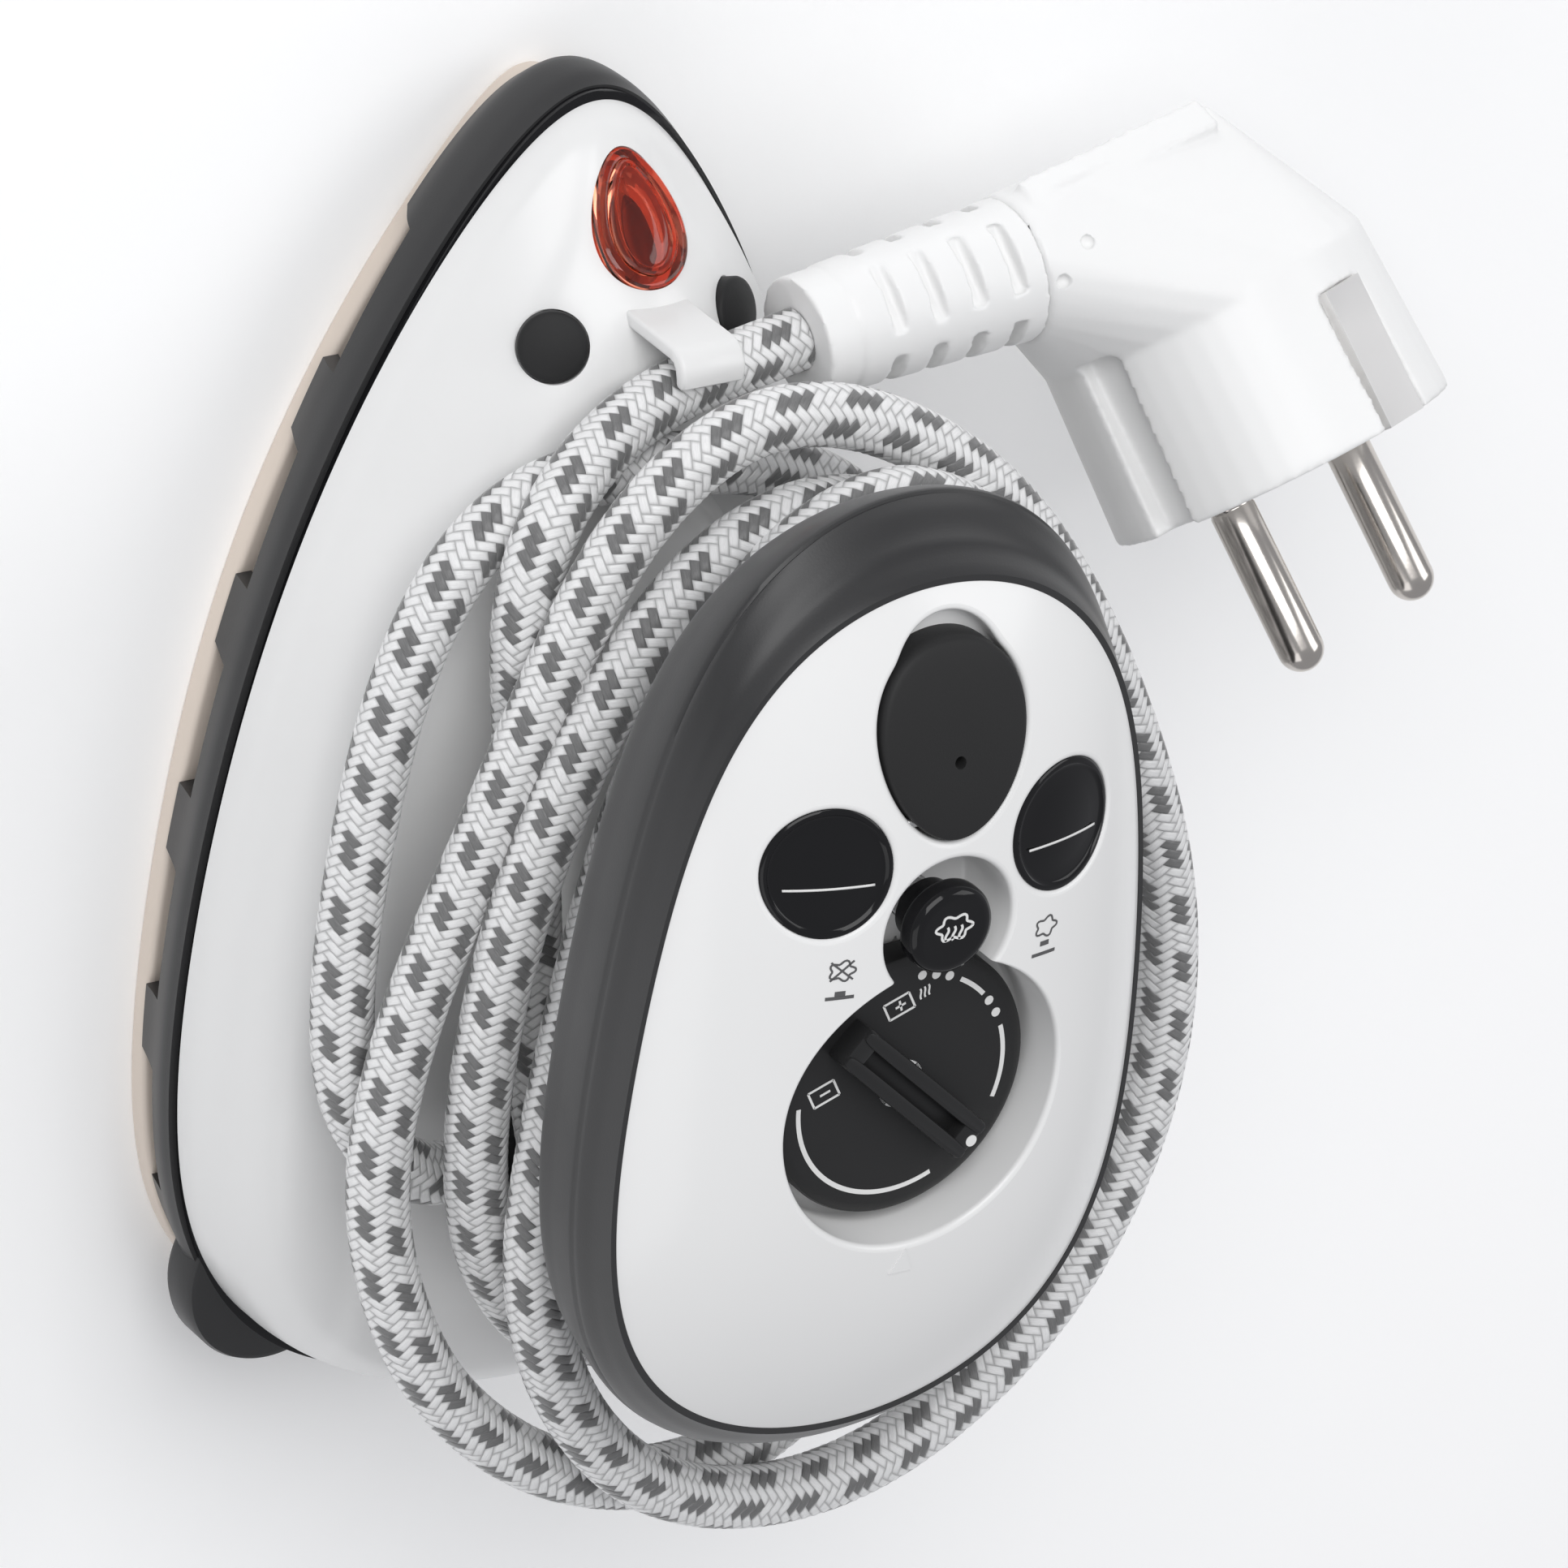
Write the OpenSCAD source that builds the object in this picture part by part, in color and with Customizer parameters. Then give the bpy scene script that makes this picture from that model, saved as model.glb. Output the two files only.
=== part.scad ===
// Compact travel steam iron: egg soleplate, white body, palm disc with tank, dial and
// steam knob, textile cord wound round the neck and parked behind a hook, earthed plug.
// Millimetres. The sole lies on z = 0, +Z runs up to the palm disc, +Y to the nose.

/* [Sole and skirt] */
// Length of the soleplate, heel to nose
sole_length = 141; // [130:1:170]
// Width of the soleplate
sole_width = 71; // [64:1:84]
// Thickness of the ceramic soleplate
sole_thick = 2.8; // [2:0.1:4]
// Thickness of the aluminium heater casting
casting_thick = 7; // [5:0.5:9]
// Height of the skirt's upper edge
skirt_top = 13.2; // [12.8:0.1:15]
// Height of each cooling slot in the skirt
slot_height = 4.2; // [2:0.1:4.6]
// Length of each cooling slot
slot_length = 15.3; // [10:0.1:17]
// Distance from one cooling slot to the next
slot_pitch = 22.7; // [21:0.1:24]

/* [Body shell] */
// Height of the shell's flat top
shell_top = 31; // [29:0.5:34]
// Wall of the moulded shells
wall = 2; // [1.6:0.1:2.4]
// Radius of the screw caps
cap_r = 3.6; // [3:0.1:4.8]
// Distance of each screw cap from the middle
cap_x = 10.8; // [9:0.1:12]
// Width of the cord hook
hook_width = 7.4; // [5:0.1:9]
// Height of the cord hook above the shell
hook_height = 7.2; // [6:0.1:8]

/* [Palm disc] */
// Length of the top cover
disc_length = 93; // [88:1:104]
// Width of the top cover
disc_width = 59.5; // [57:0.5:68]
// Height of the disc's underside
disc_base = 61.5; // [60:0.5:66]
// Height of the top cover's edge
cover_edge = 79; // [78:0.5:84]
// Rise of the cover's crown above its edge
crown_rise = 8.5; // [7.5:0.1:10]
// How far the rubber rim stands outside the cover
rim_proud = 2.8; // [1.5:0.1:4]

/* [Controls] */
// Radius of the thermostat dial
dial_r = 14.4; // [13:0.1:15]
// Gap round the dial in its recess
dial_gap = 1.4; // [0.8:0.1:1.6]
// Radius of the dial's shaft
shaft_r = 2.6; // [2:0.1:3]
// Radius of the steam knob's cap
knob_r = 4.8; // [4:0.1:4.9]
// How far the steam knob travels
knob_travel = 3.5; // [2:0.1:3.8]
// Length of the filler cap
filler_length = 19.5; // [16:0.1:24]
// Width of the filler cap
filler_width = 16.2; // [13:0.1:18]
// Radius of the steam knob's valve rod
rod_r = 1.5; // [1.2:0.1:1.8]

/* [Cord and plug] */
// Diameter of the textile cord
cord_d = 6.4; // [5.5:0.1:7]
// Diameter of each plug pin
pin_d = 4.8; // [4:0.1:5]
// Length of each plug pin
pin_length = 19; // [18:0.5:19.5]
// Distance between the two plug pins
pin_spacing = 19; // [18:0.5:20]
// Radius of the plug's face
plug_r = 18.4; // [17.5:0.1:19]

/* [Hidden] */
clear = 0.3;          // gap between pieces that don't touch
fit_clear = 0.05;     // radial running fit of the shaft and the rod
ring_n = 48;          // points round each outline
$fn = 48;

// Outline shares: fullness, taper towards the nose, and two shape terms.
sole_shape = [0.99, -0.50, 0.04, -0.08];
shell_shape = [1.01, -0.43, 0.06, -0.05];
disc_shape = [1.13, -0.12, 0.15, 0];
oval_shape = [1, 0, 0, 0];

// Heights that follow from the driving sizes
casting_top = sole_thick + casting_thick;
slot_top = sole_thick + slot_height;
disc_middle = 4;                     // the disc's centre along Y
dial_at = -2.6;                      // the dial's axis along Y
knob_at = 17;                        // the steam knob's axis along Y
crown = cover_edge + crown_rise;
recess_floor = cover_edge - 0.4;     // upper face of the recesses' floors
floor_thick = 1.6;
dial_bottom = recess_floor + 0.4;
dial_face = crown - 5.1;
knob_top = crown + 0.4;
tank_floor = disc_base + wall + clear;
tank_lid = recess_floor - floor_thick - clear;
filler_front = disc_middle + disc_length * 0.452;
filler_rear = filler_front - filler_length;
filler_mid = (filler_front + filler_rear) / 2;
throat_r = 4.6;
dial_recess_r = dial_r + dial_gap;
knob_recess_r = knob_r + 2.4;
window_at = [13.6, 24.7];
window_size = [13.5, 13.6];
filler_gap = 0.55;                    // gap round the filler cap in its recess
finger_r = 6.2;                      // thumb hollow in front of the filler cap
finger_reach = 2.1;                  // how far it reaches past the cap's nose end
screw_y = 52.7;
screw_z = 25.6;
cap_normal = [-23, 28];              // turns about X, then about Y, of a cap's axis
lens_at = [0, 63.3, 22.2];
lens_slope = -39.5;
lens_size = [9, 14.4];
neck_waist = [25, 72];
tube_r = cord_d / 2;

// The plug: middle of its face, its turn, and the ends of its strain relief
plug_at = [67, 34, 43.8];
plug_turn = [233.5, 19.6, 4.7];
relief_from = [13, 52.9, 33.2];
relief_turn = [0, 90, 7.4];
relief_length = 25;
earth_size = [5.5, 1.2, 15];

// The cord's way from the coil, behind the hook, into the plug's relief
tail_route = [[-20, 24, 40], [-21, 32, 40.2], [-19.5, 39.5, 39.6], [-14.5, 45, 37.4],
    [-7, 48.8, 35], [2, 50.9, 33.4], [13, 52.9, 33.2]];
gland_at = [-5, -29, 40];
gland_turn = [0, 90, 185];
gland_length = 14;
gland_depth = 7;                      // how far the gland reaches into the neck

// One point of an outline of the given length, width and middle, at angle a from the nose.
function shape_pt(a, len, wid, mid, s) = [
    -wid / 2 * sin(a) * (s[0] + s[1] * cos(a) + s[2] * cos(2 * a) + s[3] * cos(3 * a)),
    mid + len / 2 * cos(a)];
function outline(len, wid, mid, s) =
    [for (i = [0:ring_n - 1]) shape_pt(i * 360 / ring_n, len, wid, mid, s)];
// A ring of points at a height, from nose and heel positions and a width.
function ring(z, nose, heel, wid, s) =
    [for (p = outline(nose - heel, wid, (nose + heel) / 2, s)) [p[0], p[1], z]];

// The body's levels: height, nose, heel and width, as shares of the sole's sizes
nose_y = sole_length / 2;
half = sole_width / 2;
skirt_levels = [[sole_thick + 0.1, nose_y + 0.7, -nose_y + 0.3, sole_width + 0.4],
    [sole_thick + 3.3, nose_y + 3.1, -nose_y - 0.6, sole_width + 2.2],
    [skirt_top - 3.2, nose_y + 3.5, -nose_y - 0.7, sole_width + 5],
    [skirt_top, nose_y + 2.6, -nose_y + 0.2, sole_width + 5.6]];
shell_levels = [[skirt_top + 0.1, nose_y + 2.2, -nose_y + 0.9, sole_width + 4.6],
    [17, nose_y - 0.7, -nose_y + 1.2, sole_width + 4],
    [21, nose_y - 5.5, -nose_y + 2.2, sole_width + 2.6],
    [25, nose_y - 10.5, -nose_y + 4, sole_width],
    [shell_top - 3, nose_y - 15, -nose_y + 6.5, sole_width - 4],
    [shell_top - 1, nose_y - 20, -nose_y + 10.5, sole_width - 13],
    [shell_top, nose_y - 27, -nose_y + 17, sole_width - 27]];
// The rim's levels: height, growth over the cover's length and width, shift of its middle
rim_levels = [[disc_base + 0.6, -6, -8, -0.5], [disc_base + 3.2, 4, -0.5, 0],
    [disc_base + 7.5, 9.5, 1.8, 0.8], [cover_edge - 6, 11.5, rim_proud, 1],
    [cover_edge - 2.6, 7.4, 1.8, 0.6], [cover_edge, 1.4, 1.2, 0]];

// Height of the cover's dome at share k of the way from its crown to its edge.
function dome(k) = cover_edge + crown_rise * (1 - pow(k, 3));
dome_shares = [1, 0.95, 0.86, 0.74, 0.6, 0.44, 0.26];

module loft(rings) {
    n = len(rings[0]);
    m = len(rings);
    sides = [for (k = [0:m - 2], i = [0:n - 1], t = [0:1])
        let (j = (i + 1) % n)
        t == 0 ? [k * n + i, (k + 1) * n + i, (k + 1) * n + j]
               : [k * n + i, (k + 1) * n + j, k * n + j]];
    bottom = [for (i = [0:n - 1]) i];
    top = [for (i = [n - 1:-1:0]) (m - 1) * n + i];
    polyhedron([for (r = rings) each r], concat([bottom, top], sides));
}

// A solid through levels [height, nose, heel, width], brought in by an inset.
module body_loft(levels, s, inset = 0, drop = 0) {
    loft([for (v = levels) ring(v[0] - drop, v[1] - inset * 1.15, v[2] + inset, v[3] - 2 * inset, s)]);
}

// A solid through the rim's levels, brought in by an inset.
module rim_loft(inset = 0) {
    loft([for (v = rim_levels)
        ring(v[0], disc_middle + v[3] + (disc_length + v[1]) / 2 - inset,
            disc_middle + v[3] - (disc_length + v[1]) / 2 + inset,
            disc_width + v[2] - 2 * inset, disc_shape)]);
}

// The space under a dome that lies a given depth below the cover's outer face.
module dome_loft(depth = 0, inset = 0, foot = 0) {
    base = ring(cover_edge - foot - 0.01, disc_middle + disc_length / 2 - inset,
        disc_middle - disc_length / 2 + inset, disc_width - 2 * inset, disc_shape);
    tops = [for (k = dome_shares)
        ring(dome(k) - depth, disc_middle + (disc_length / 2 - inset) * k,
            disc_middle - (disc_length / 2 - inset) * k, (disc_width - 2 * inset) * k, disc_shape)];
    loft(concat([base], tops));
}

module prism(z0, z1, len, wid, mid, s, inset = 0) {
    translate([0, 0, z0]) linear_extrude(z1 - z0)
        polygon(outline(len - 2 * inset, wid - 2 * inset, mid, s));
}

module post(r, z0, z1, x = 0, y = 0) {
    translate([x, y, z0]) cylinder(r = r, h = z1 - z0);
}

module tube(r, bore, z0, z1, x = 0, y = 0) {
    difference() {
        post(r, z0, z1, x, y);
        post(bore, z0 - 1, z1 + 1, x, y);
    }
}

module mirrored() {
    children();
    mirror([1, 0, 0]) children();
}

// ---- Sole -------------------------------------------------------------------

steam_hole_r = 1.3;
steam_rows = [[52, 0], [44, 5], [33, 10], [20, 14], [6, 17], [-8, 18]];

module steam_holes(r, z0, z1) {
    for (p = steam_rows, side = [-1, 1])
        if (p[1] > 0 || side > 0) post(r, z0, z1, side * p[1], p[0]);
}

module sole_plate() {
    color([0.78, 0.70, 0.64]) difference() {
        prism(0, sole_thick, sole_length, sole_width, 0, sole_shape);
        steam_holes(steam_hole_r, -1, sole_thick + 1);
    }
}

chamber_depth = 3;
chamber_size = [44, 30];     // length and width of the steam chamber
chamber_mid = 0;
chamber_holes = [[-7, 14], [7, 14], [-9, -6], [9, -6]];
element_r = 3.2;
terminal_r = 1.2;            // radius of the element's end rods
element_bend = 21;           // radius of the element's U bend
element_mid = 10;            // where the bend starts along Y
element_z = sole_thick + 3.5;
element_heel = -46;
casting_inset = 7;

module casting_outline(z0, z1) {
    prism(z0, z1, sole_length - 2 * casting_inset, sole_width - 2 * casting_inset, -1, sole_shape);
}

// A U of round bar: the bend lies towards the nose and the ends stick out at the heel.
module element_path(r) {
    translate([0, element_mid, element_z]) rotate_extrude(angle = 180)
        translate([element_bend, 0]) circle(r = r);
    mirrored() translate([element_bend, element_mid, element_z]) rotate([90, 0, 0])
        cylinder(r = r, h = element_mid - element_heel);
}

module heater_casting() {
    color([0.72, 0.73, 0.74]) difference() {
        casting_outline(sole_thick, casting_top);
        prism(casting_top - chamber_depth, casting_top + 1, chamber_size[0], chamber_size[1],
            chamber_mid, oval_shape);
        prism(casting_top - 1.5, casting_top + 1, chamber_size[0] + 8, chamber_size[1] + 4,
            chamber_mid, oval_shape);
        element_path(element_r + 0.05);
        mirrored() translate([element_bend, element_heel + 1, element_z]) rotate([90, 0, 0])
            cylinder(r = terminal_r + 0.1, h = 20);
        steam_holes(steam_hole_r + 0.6, sole_thick - 1, sole_thick + 1.5);
        for (p = chamber_holes) post(steam_hole_r, sole_thick - 1, casting_top, p[0], p[1]);
        mirrored() post(1.3, sole_thick + 2, casting_top + 1, 12, -48);
        post(1.3, sole_thick + 2, casting_top + 1, 0, 52);
        post(2.9, casting_top - 1, casting_top + 1, 0, bracket_at);
    }
}

module heating_element() {
    color([0.45, 0.45, 0.47]) {
        element_path(element_r);
        mirrored() translate([element_bend, element_heel, element_z]) rotate([90, 0, 0])
            cylinder(r = terminal_r, h = 7);
    }
}

module chamber_seal() {
    color([0.75, 0.3, 0.2]) difference() {
        prism(casting_top - 1.5, casting_top - 0.7, chamber_size[0] + 8, chamber_size[1] + 4,
            chamber_mid, oval_shape);
        prism(casting_top - 2, casting_top, chamber_size[0] + 0.4, chamber_size[1] + 0.4,
            chamber_mid, oval_shape);
    }
}

module chamber_lid() {
    color([0.75, 0.75, 0.77]) difference() {
        prism(casting_top - 0.7, casting_top + 0.5, chamber_size[0] + 7.6, chamber_size[1] + 3.6,
            chamber_mid, oval_shape);
        post(2.3, casting_top - 2, casting_top + 2, 0, knob_at);
    }
}

// ---- Skirt ------------------------------------------------------------------

first_slot = 58.3;           // the foremost slot's front end
foot_at = [23, -sole_length / 2 + 14.4];
foot_r = 10.3;

// One slot right across the skirt, longer at its foot than at its head.
module cooling_slot(front) {
    translate([-sole_width, 0, 0]) rotate([90, 0, 90]) linear_extrude(2 * sole_width)
        polygon([[front - slot_length - 0.5, 0], [front + 0.5, 0],
            [front - 0.4, slot_top], [front - slot_length + 0.4, slot_top]]);
}

module heat_skirt() {
    color([0.25, 0.25, 0.26]) difference() {
        union() {
            difference() {
                body_loft(skirt_levels, shell_shape);
                body_loft(skirt_levels, shell_shape, wall);
                translate([0, 0, skirt_top - 1]) linear_extrude(3)
                    polygon(outline(sole_length + 1.2, sole_width + 4.2, 0.7, shell_shape));
                translate([0, 0, -1]) linear_extrude(6)
                    polygon(outline(sole_length - 4, sole_width - 4, 0, shell_shape));
            }
            difference() {
                mirrored() post(foot_r, 7.6, skirt_top, foot_at[0], foot_at[1]);
                translate([0, 0, 1]) linear_extrude(20)
                    polygon(outline(sole_length + 1.2, sole_width + 4.2, 0.7, shell_shape));
            }
            mirrored() post(3.4, casting_top + 0.6, skirt_top - 1.4, 12, -48);
            translate([0, -58, casting_top + 1.2]) cube([40, 22, 1.6], center = true);
            post(3.4, casting_top + 0.6, skirt_top - 1.4, 0, 52);
            translate([0, 62, casting_top + 1.2]) cube([16, 18, 1.6], center = true);
        }
        for (i = [0:4]) cooling_slot(first_slot - i * slot_pitch);
        mirrored() post(1.6, 0, 20, 12, -48);
        post(1.6, 0, 20, 0, 52);
    }
}

module skirt_seal() {
    color([0.08, 0.08, 0.08]) difference() {
        translate([0, 0, skirt_top - 0.9]) linear_extrude(0.9)
            polygon(outline(sole_length + 1, sole_width + 4, 0.7, shell_shape));
        translate([0, 0, skirt_top - 2]) linear_extrude(3)
            polygon(outline(sole_length - 3.5, sole_width - 0.5, 0.7, shell_shape));
    }
}

// ---- Body shell ---------------------------------------------------------------

module at_cap() {
    translate([-cap_x, screw_y, screw_z]) rotate([cap_normal[0], 0, 0])
        rotate([0, -cap_normal[1], 0]) children();
}

module at_lens() {
    translate(lens_at) rotate([lens_slope, 0, 0]) children();
}

module lens_outline(grow = 0) {
    polygon([for (i = [0:35]) let (a = i * 10)
        [-(lens_size[0] / 2 + grow) * sin(a) * (1.06 - 0.26 * cos(a)),
            (lens_size[1] / 2 + grow) * cos(a)]]);
}

module body_shell() {
    color([0.93, 0.93, 0.92]) difference() {
        union() {
            difference() {
                body_loft(shell_levels, shell_shape);
                body_loft(shell_levels, shell_shape, wall, wall);
                translate([0, 0, skirt_top - 4]) linear_extrude(6)
                    polygon(outline(sole_length - 1, sole_width + 0.6, 0.7, shell_shape));
            }
            intersection() {
                body_loft(shell_levels, shell_shape);
                mirrored() at_cap() translate([0, 0, -14]) cylinder(r = cap_r + 1.4, h = 20);
            }
        }
        mirrored() at_cap() {
            translate([0, 0, -1.8]) cylinder(r = cap_r + 0.15, h = 10);
            translate([0, 0, -5.6]) cylinder(r = 2.9, h = 5);
            translate([0, 0, -20]) cylinder(r = 1.6, h = 25);
        }
        at_lens() translate([0, 0, -5]) linear_extrude(12) lens_outline(0.1);
        prism(shell_top - 5, shell_top + 3, neck_waist[1] - 4, neck_waist[0] - 4, 0, oval_shape);
        translate([0, hook_y, shell_top - 4])
            cube([hook_width, 2 * hook_thick, 12], center = true);
    }
}

module screw_cap() {
    at_cap() intersection() {
        translate([0, 0, -1.8]) cylinder(r = cap_r, h = 3);
        translate([0, 0, -17.6]) sphere(r = 18.4);
    }
}

module screw_cap_left() { color([0.1, 0.1, 0.1]) screw_cap(); }
module screw_cap_right() { color([0.1, 0.1, 0.1]) mirror([1, 0, 0]) screw_cap(); }

module case_screws() {
    color("silver") mirrored() at_cap() {
        translate([0, 0, -5.6]) cylinder(r = 2.7, h = 2);
        translate([0, 0, -14]) cylinder(r = 1.4, h = 9);
    }
}

module sole_screws() {
    color("silver") {
        mirrored() {
            post(1.25, sole_thick + 2.2, skirt_top - 1.4, 12, -48);
            post(2.6, skirt_top - 1.4, skirt_top, 12, -48);
        }
        post(1.25, sole_thick + 2.2, skirt_top - 1.4, 0, 52);
        post(2.6, skirt_top - 1.4, skirt_top, 0, 52);
    }
}

module indicator_lens() {
    color([0.9, 0.2, 0.1]) at_lens() difference() {
        union() {
            translate([0, 0, -2.4]) linear_extrude(2.8) lens_outline();
            translate([0, 0, 0.4]) linear_extrude(0.7) lens_outline(-1.1);
        }
        translate([0, 0, -3]) linear_extrude(2.4) lens_outline(-1.6);
    }
}

module indicator_lamp() {
    color([0.95, 0.6, 0.3]) at_lens() translate([0, 0.4, -4.6]) rotate([90, 0, 0]) {
        cylinder(r = 1.9, h = 8, center = true);
        translate([0, 0, 4]) sphere(r = 1.9);
    }
}

module lamp_holder() {
    color([0.9, 0.9, 0.9]) at_lens() translate([0, -0.6, -7]) difference() {
        cube([6, 7.6, 3], center = true);
        translate([0, 0, 2.4]) rotate([90, 0, 0]) cylinder(r = 1.95, h = 12, center = true);
    }
}

hook_y = 55.4;
hook_thick = 0.8;                     // half the hook's thickness
hook_top = shell_top + hook_height;
module cord_hook() {
    color([0.94, 0.94, 0.93]) translate([-hook_width / 2, 0, 0]) rotate([90, 0, 90])
        linear_extrude(hook_width)
            polygon([[hook_y - hook_thick, shell_top - 5.6], [hook_y + hook_thick, shell_top - 5.6],
                [hook_y + hook_thick, hook_top - 2.3], [hook_y, hook_top - 0.9],
                [hook_y - 1.8, hook_top], [hook_y - 3.2, hook_top - 0.3],
                [hook_y - 3, hook_top - 1.4], [hook_y - 1.6, hook_top - 1.7],
                [hook_y - hook_thick, hook_top - 2.7]]);
}

// ---- Neck and what runs through it ---------------------------------------------

neck_levels = [[shell_top, 39.5, -39.5, 30.5], [shell_top + 4, 37, -37, 26.5],
    [46, 35, -35, 24], [56, 36.5, -36.5, 25.5], [disc_base, 41, -40, 32]];

module neck() {
    color([0.9, 0.9, 0.89]) difference() {
        body_loft(neck_levels, oval_shape);
        prism(shell_top - 5, disc_base + 1, neck_waist[1] - 6, neck_waist[0] - 6, 0, oval_shape);
        translate(gland_at) rotate(gland_turn) translate([0, 0, -8]) cylinder(r = 4, h = 20);
    }
}

module water_pipe() {
    color([0.85, 0.85, 0.8]) tube(2.2, 1.3, casting_top - 0.4, tank_floor - 2.2, 0, knob_at);
}

thermostat_top = 26;
bracket_at = dial_at - 28;            // the bracket's foot along Y
module thermostat() {
    color([0.82, 0.76, 0.62]) difference() {
        union() {
            post(7.5, casting_top + 2.2, casting_top + 8, 0, dial_at);
            post(4.6, casting_top + 8, thermostat_top, 0, dial_at);
            translate([0, dial_at - 10, casting_top + 4]) cube([5, 10, 1.2], center = true);
        }
        post(shaft_r + fit_clear, casting_top + 6, thermostat_top + 1, 0, dial_at);
    }
}

module thermostat_bracket() {
    color([0.7, 0.7, 0.68]) {
        translate([0, dial_at, casting_top + 1.35]) cube([17, 22, 1.5], center = true);
        post(2.9, casting_top - 1, casting_top + 0.6, 0, bracket_at);
        translate([0, (dial_at + bracket_at) / 2 - 3, casting_top + 1.35])
            cube([6, dial_at - bracket_at, 1.5], center = true);
    }
}

module thermal_fuse() {
    color([0.85, 0.85, 0.85]) translate([0, -40, casting_top + 2.1]) rotate([0, 90, 0]) {
        cylinder(r = 2, h = 10, center = true);
        cylinder(r = 0.5, h = 22, center = true);
    }
}

plate_top = casting_top + 2;          // upper face of the skirt's inner plates
block_size = [18, 9, 7];
terminal_gap = 6;
module terminal_block() {
    color([0.92, 0.9, 0.84]) translate([0, -51, plate_top + block_size[2] / 2]) difference() {
        cube(block_size, center = true);
        for (x = [-terminal_gap, 0, terminal_gap]) translate([x, 0, 0]) rotate([90, 0, 0])
            cylinder(r = 1.3, h = 12, center = true);
    }
}

module inner_wires() {
    color([0.2, 0.35, 0.7]) for (x = [-terminal_gap, 0, terminal_gap])
        translate([x, -44.8, plate_top + block_size[2] / 2]) {
            rotate([90, 0, 0]) cylinder(r = 1, h = 8);
            sphere(r = 1);
            rotate([-70, 0, 0]) cylinder(r = 1, h = 12);
        }
}

module cord_clamp() {
    color([0.2, 0.2, 0.2]) translate([0, -12, 0]) difference() {
        translate([0, 0, 41]) cube([16.8, 6, 8], center = true);
        translate([0, 0, 41]) rotate([90, 0, 0]) cylinder(r = tube_r - 0.4, h = 10, center = true);
    }
}

// ---- Palm disc ----------------------------------------------------------------

module handle_base() {
    color([0.16, 0.16, 0.17]) difference() {
        intersection() {
            rim_loft(wall + clear);
            prism(disc_base, disc_base + wall, disc_length, disc_width, disc_middle, disc_shape, 1);
        }
        post(shaft_r + 1, disc_base - 1, disc_base + wall + 1, 0, dial_at);
        post(3, disc_base - 1, disc_base + wall + 1, 0, knob_at);
    }
}

module grip_rim() {
    color([0.2, 0.2, 0.21]) difference() {
        rim_loft();
        rim_loft(wall);
        prism(disc_base - 2, cover_edge + 2, disc_length - 18, disc_width - 16, disc_middle,
            disc_shape);
        prism(cover_edge - 1.8, cover_edge + 2, disc_length, disc_width, disc_middle, disc_shape,
            -0.15);
    }
}

tank_inset = 4.2;
module water_tank() {
    color([0.75, 0.8, 0.85, 0.6]) difference() {
        union() {
            difference() {
                prism(tank_floor, tank_lid, disc_length - 6, disc_width - 6, disc_middle,
                    disc_shape, tank_inset - 3);
                prism(tank_floor + 1.6, tank_lid - 1.6, disc_length - 6, disc_width - 6,
                    disc_middle, disc_shape, tank_inset - 1.4);
            }
            post(shaft_r + 2.2, tank_floor, tank_lid, 0, dial_at);
            post(4, tank_floor, tank_floor + 3.4, 0, knob_at);
            post(rod_r + 1.8, tank_lid - 3, tank_lid, 0, knob_at);
            post(throat_r + 1.6, tank_lid - 3, tank_lid, 0, filler_mid);
        }
        post(shaft_r + 0.8, tank_floor - 1, tank_lid + 1, 0, dial_at);
        post(2.6, tank_floor - 1, tank_floor + 8, 0, knob_at);
        post(rod_r + 0.5, tank_lid - 4, tank_lid + 1, 0, knob_at);
        post(throat_r, tank_lid - 5, tank_lid + 1, 0, filler_mid);
    }
}

module tank_seal() {
    color([0.15, 0.15, 0.15]) tube(throat_r + 1.4, throat_r, tank_lid, tank_lid + 0.3, 0, filler_mid);
}

module drip_valve_seat() {
    color([0.85, 0.4, 0.2]) difference() {
        post(2.5, tank_floor - 2, tank_floor + 2.6, 0, knob_at);
        post(0.6, tank_floor - 3, tank_floor + 3, 0, knob_at);
        translate([0, knob_at, tank_floor + 0.9]) cylinder(r1 = 0.6, r2 = rod_r + 0.3, h = 1.8);
    }
}

module filler_outline(grow = 0) {
    polygon([for (i = [0:35]) let (a = i * 10)
        [-(filler_width / 2 + grow) * sin(a) * (1.02 + 0.14 * cos(a)),
            filler_mid + (filler_length / 2 + grow) * cos(a)]]);
}

module window_prism(side, z0, z1, grow = 0) {
    translate([side * window_at[0], window_at[1], z0]) linear_extrude(z1 - z0)
        polygon([for (i = [0:35]) let (a = i * 10)
            [(window_size[0] / 2 + grow) * cos(a), (window_size[1] / 2 + grow) * sin(a)]]);
}

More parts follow.
